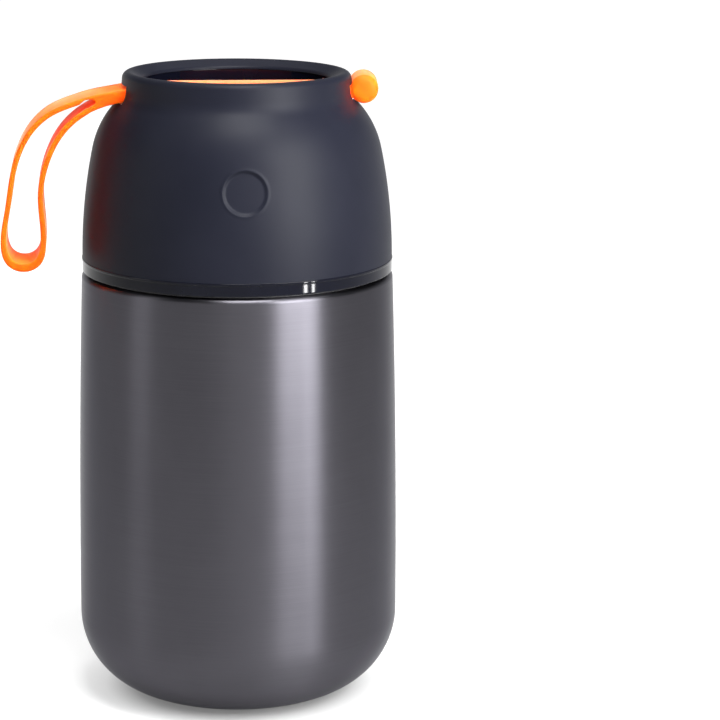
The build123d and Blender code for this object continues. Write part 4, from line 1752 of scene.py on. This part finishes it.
    def toggle(self) -> bpy.types.Object:
        """The T-bar: a rounded bar, a little askew, pressed to the neck's round side.

        Returns:
            The bar, to be joined to the band.
        """
        half = self.toggle_length / 2
        outline = Outline().rounded([
            ((0.0, -half), 0.0), ((self.toggle_radius, -half), self.toggle_edge),
            ((self.toggle_radius, half), self.toggle_edge), ((0.0, half), 0.0),
        ], step=12.0)
        bar = turned("toggle", outline, Finishes.STRAP, columns=96)
        place = Matrix.Translation((self.toggle_x * MM, 0.0, (self.middle + self.toggle_rise) * MM))
        turn = Matrix.Rotation(math.radians(-self.toggle_skew), 4, "Z") @ Matrix.Rotation(math.pi / 2, 4, "X")
        bar.data.transform(place @ turn)
        post = Outline().to(
            (0.0, self.middle - self.toggle_length), (self.neck_radius, self.middle - self.toggle_length),
            (self.neck_radius, self.middle + self.toggle_length), (0.0, self.middle + self.toggle_length),
        )
        return combine(bar, turned("post", post, Finishes.STRAP, columns=240), "DIFFERENCE")


def even(start: Point, end: Point, count: int) -> list[Point]:
    """Evenly spaced points from start to end, both included."""
    across, along = end[0] - start[0], end[1] - start[1]
    return [(start[0] + across * n / count, start[1] + along * n / count) for n in range(count + 1)]


def fine_line(points: Sequence[Point], step: float) -> list[Point]:
    """A closed line with its long spans divided.

    Args:
        points: The line's points.
        step: Longest span to leave.

    Returns:
        The line's points with those between them.
    """
    fine = []
    for here, there in zip(points, [*points[1:], points[0]]):
        fine += even(here, there, math.ceil(math.dist(here, there) / step))[:-1]
    return fine


def smooth_line(points: np.ndarray, first: Point, last: Point, steps: int) -> np.ndarray:
    """A smooth line through points, with its end directions given.

    Args:
        points: The points, in order.
        first: Direction at the first point.
        last: Direction at the last point.
        steps: Spans of the line.

    Returns:
        Points on the line, about evenly spaced.
    """
    gaps = np.linalg.norm(np.diff(points, axis=0), axis=1)
    times = np.concatenate([[0.0], np.cumsum(gaps)])
    count = len(points)
    system = np.zeros((count, count))
    right = np.zeros((count, 2))
    system[0, 0] = system[-1, -1] = 1.0
    right[0] = np.array(first) / np.linalg.norm(first)
    right[-1] = np.array(last) / np.linalg.norm(last)
    for n in range(1, count - 1):
        back, ahead = gaps[n - 1], gaps[n]
        system[n, n - 1 : n + 2] = ahead, 2 * (back + ahead), back
        rise = ahead * (points[n] - points[n - 1]) / back + back * (points[n + 1] - points[n]) / ahead
        right[n] = 3 * rise
    slopes = np.linalg.solve(system, right)
    places = np.linspace(0.0, times[-1], steps + 1)
    span = np.clip(np.searchsorted(times, places, side="right") - 1, 0, count - 2)
    gap = gaps[span][:, None]
    t = (places - times[span])[:, None] / gap
    start = (2 * t**3 - 3 * t**2 + 1) * points[span] + (t**3 - 2 * t**2 + t) * gap * slopes[span]
    finish = (-2 * t**3 + 3 * t**2) * points[span + 1] + (t**3 - t**2) * gap * slopes[span + 1]
    return start + finish


def slab(
    name: str, outer: Sequence[Point], hole: Sequence[Point], width: float, edge: float, finish: Any
) -> bpy.types.Object:
    """A flat shape drawn in X and Z, given a width along Y and rounded edges.

    Args:
        name: The piece's name.
        outer: The outline's points.
        hole: The hole's points.
        width: Width along Y.
        edge: Rounding of the edges.
        finish: The piece's finish.

    Returns:
        The piece.
    """
    shape = bmesh.new()
    for ring in (outer, hole):
        corners = [shape.verts.new((x * MM, -width / 2 * MM, z * MM)) for x, z in ring]
        for here, there in zip(corners, corners[1:] + corners[:1]):
            shape.edges.new((here, there))
    bmesh.ops.triangle_fill(shape, edges=shape.edges[:], use_beauty=True)
    flat = shape.faces[:]
    grown = bmesh.ops.extrude_face_region(shape, geom=flat)["geom"]
    lifted = [v for v in grown if isinstance(v, bmesh.types.BMVert)]
    bmesh.ops.translate(shape, verts=lifted, vec=(0.0, width * MM, 0.0))
    bmesh.ops.recalc_face_normals(shape, faces=shape.faces[:])
    mesh = bpy.data.meshes.new(name)
    shape.to_mesh(mesh)
    shape.free()
    mesh.materials.append(Finishes.of(finish))
    piece = add_object(name, mesh)
    bevel = piece.modifiers.new("soft_edges", "BEVEL")
    bevel.width = edge * MM
    bevel.segments = BEVEL_STEPS
    bevel.limit_method = "ANGLE"
    bevel.angle_limit = BEVEL_ANGLE
    return plain(piece)


# ---------------------------------------------------------------- studio


@dataclass(frozen=True)
class SoftBox:
    """One soft lamp, placed by its bearing round the jar, in metres and watts."""

    name: str
    bearing: float
    distance: float
    height: float
    width: float
    tall: float
    power: float
    aim: float = 0.1

    def build(self) -> None:
        """Place the lamp and aim it at the jar's axis."""
        data = bpy.data.lights.new(self.name, "AREA")
        data.shape = "RECTANGLE"
        data.size = self.width
        data.size_y = self.tall
        data.energy = self.power
        lamp = bpy.data.objects.new(self.name, data)
        bpy.context.scene.collection.objects.link(lamp)
        angle = math.radians(self.bearing)
        place = Vector((math.sin(angle) * self.distance, -math.cos(angle) * self.distance, self.height))
        lamp.location = place
        lamp.rotation_euler = (Vector((0.0, 0.0, self.aim)) - place).to_track_quat("-Z", "Y").to_euler()
        lamp.visible_camera = False


@dataclass
class Studio:
    """Pale floor, soft lamps and the camera."""

    floor_size: float = 30.0
    floor_colour: Colour = (0.30, 0.30, 0.30)
    floor_roughness: float = 0.9
    # Floor glow by distance from the jar's axis in metres; the dip near the jar's foot is a painted contact
    # shadow.
    glow: tuple[Point, ...] = (
        (0.0, 0.1), (0.034, 0.18), (0.044, 0.6), (0.058, 0.8), (0.12, 0.85), (0.6, 1.0),
    )
    world_level: float = 0.09
    backdrop_top: float = 18.0
    camera_place: tuple[float, float, float] = (-44.91, -892.38, 309.65)
    camera_heading: float = 5.444
    camera_down: float = 12.584
    camera_roll: float = 0.356
    lens: float = 139.75
    sensor: float = 36.0
    lamps: tuple[SoftBox, ...] = field(default_factory=lambda: (
        SoftBox("key", bearing=39.5, distance=0.4, height=0.30, width=0.225, tall=0.36, power=5.8, aim=0.2),
        SoftBox(
            "near_strip", bearing=46, distance=0.6, height=0.034, width=0.026, tall=0.03, power=0.25,
            aim=0.034,
        ),
        SoftBox(
            "far_strip", bearing=52, distance=0.6, height=0.034, width=0.02, tall=0.03, power=0.19,
            aim=0.034,
        ),
        SoftBox("top", bearing=10, distance=0.32, height=0.9, width=0.34, tall=0.3, power=12.0, aim=0.14),
        SoftBox("overhead", bearing=180, distance=0.4, height=0.9, width=0.9, tall=0.5, power=2.0),
        SoftBox("fill", bearing=-75, distance=0.65, height=0.35, width=0.2, tall=0.7, power=0.8),
    ))

    def build(self) -> None:
        """Make the camera, the floor, the lamps and the world."""
        self.camera()
        self.floor()
        for lamp in self.lamps:
            lamp.build()
        self.world()
        bpy.context.scene.view_settings.view_transform = "Standard"

    def world(self) -> None:
        """Make the plain world, white where it is the backdrop."""
        world = bpy.data.worlds.new("studio")
        bpy.context.scene.world = world
        world.use_nodes = True
        nodes, links = world.node_tree.nodes, world.node_tree.links
        background = nodes["Background"]
        background.inputs["Color"].default_value = WHITE
        path = nodes.new("ShaderNodeLightPath").outputs
        heading = nodes.new("ShaderNodeSeparateXYZ")
        links.new(nodes.new("ShaderNodeTexCoord").outputs["Generated"], heading.inputs[0])
        backdrop = nodes.new("ShaderNodeMapRange")
        backdrop.inputs["From Min"].default_value = math.sin(math.radians(self.backdrop_top))
        backdrop.inputs["From Max"].default_value = math.sin(math.radians(self.backdrop_top / 2))
        links.new(heading.outputs["Z"], backdrop.inputs["Value"])
        seen = path["Is Camera Ray"]
        for mirrored in (path["Is Glossy Ray"], path["Is Transmission Ray"]):
            lit = nodes.new("ShaderNodeMath")
            lit.operation = "MULTIPLY_ADD"
            for socket, source in zip(lit.inputs, (mirrored, backdrop.outputs["Result"], seen)):
                links.new(source, socket)
            seen = lit.outputs["Value"]
        level = nodes.new("ShaderNodeMapRange")
        level.inputs["To Min"].default_value = self.world_level
        links.new(seen, level.inputs["Value"])
        links.new(level.outputs["Result"], background.inputs["Strength"])

    def camera(self) -> None:
        """Make the scene's camera."""
        angles = (self.camera_heading, self.camera_down, self.camera_roll)
        heading, down, roll = (math.radians(angle) for angle in angles)
        level = Vector((math.sin(heading), math.cos(heading), 0.0)) * math.cos(down)
        ahead = level - Vector((0.0, 0.0, math.sin(down)))
        right = Vector((math.cos(heading), -math.sin(heading), 0.0))
        up = right.cross(ahead)
        rolled_right = right * math.cos(roll) + up * math.sin(roll)
        rolled_up = up * math.cos(roll) - right * math.sin(roll)
        turn = Matrix((rolled_right, rolled_up, -ahead)).transposed()
        data = bpy.data.cameras.new("camera")
        data.lens = self.lens
        data.sensor_width = self.sensor
        camera = bpy.data.objects.new("camera", data)
        bpy.context.scene.collection.objects.link(camera)
        camera.matrix_world = Matrix.Translation(Vector(self.camera_place) * MM) @ turn.to_4x4()
        bpy.context.scene.camera = camera

    def floor(self) -> None:
        """Make the pale floor, which shows as white and keeps the jar's shadow; its glow dims close to the
        jar's foot, a painted contact shadow on top of the real one.
        """
        mesh = bpy.data.meshes.new("floor")
        half = self.floor_size / 2
        corners = [(-half, -half, 0), (half, -half, 0), (half, half, 0), (-half, half, 0)]
        mesh.from_pydata(corners, [], [(0, 1, 2, 3)])
        floor = add_object("floor", mesh)
        graph = ShaderGraph("pale_floor")
        graph.set(
            Roughness=self.floor_roughness, Specular_IOR_Level=0.0,
            Base_Color=(*self.floor_colour, 1.0), Emission_Color=WHITE,
        )
        path = graph.nodes.new("ShaderNodeLightPath").outputs
        seen = graph.math("MAXIMUM", path["Is Camera Ray"], path["Is Glossy Ray"])
        seen = graph.math("MAXIMUM", seen, path["Is Transmission Ray"])
        length = graph.nodes.new("ShaderNodeVectorMath")
        length.operation = "LENGTH"
        graph.links.new(graph.coordinates, length.inputs[0])
        # The ramp dims the glow near the jar: painted contact shadow.
        reach = self.glow[-1][0]
        glow = graph.nodes.new("ShaderNodeValToRGB")
        stops = glow.color_ramp.elements
        given = len(stops)
        for n, (radius, level) in enumerate(self.glow):
            stop = stops[n] if n < given else stops.new(radius / reach)
            stop.position = radius / reach
            stop.color = (level, level, level, 1.0)
        graph.links.new(graph.math("DIVIDE", length.outputs["Value"], reach), glow.inputs["Fac"])
        graph.feed("Emission Strength", graph.math("MULTIPLY", seen, glow.outputs["Color"]))
        mesh.materials.append(graph.material)


def main() -> None:
    """Build the jar's sub-assemblies in order and report each piece."""
    logging.basicConfig(level=logging.INFO, format="%(name)s: %(message)s")
    Studio().build()
    threads = Threads()
    body = SteelBody()
    collar = NeckCollar(threads, body)
    body.build()
    collar.build()
    Stopper(threads, collar).build()
    Lid(threads, collar).build()
    Strap().build()


if __name__ == "__main__":
    main()
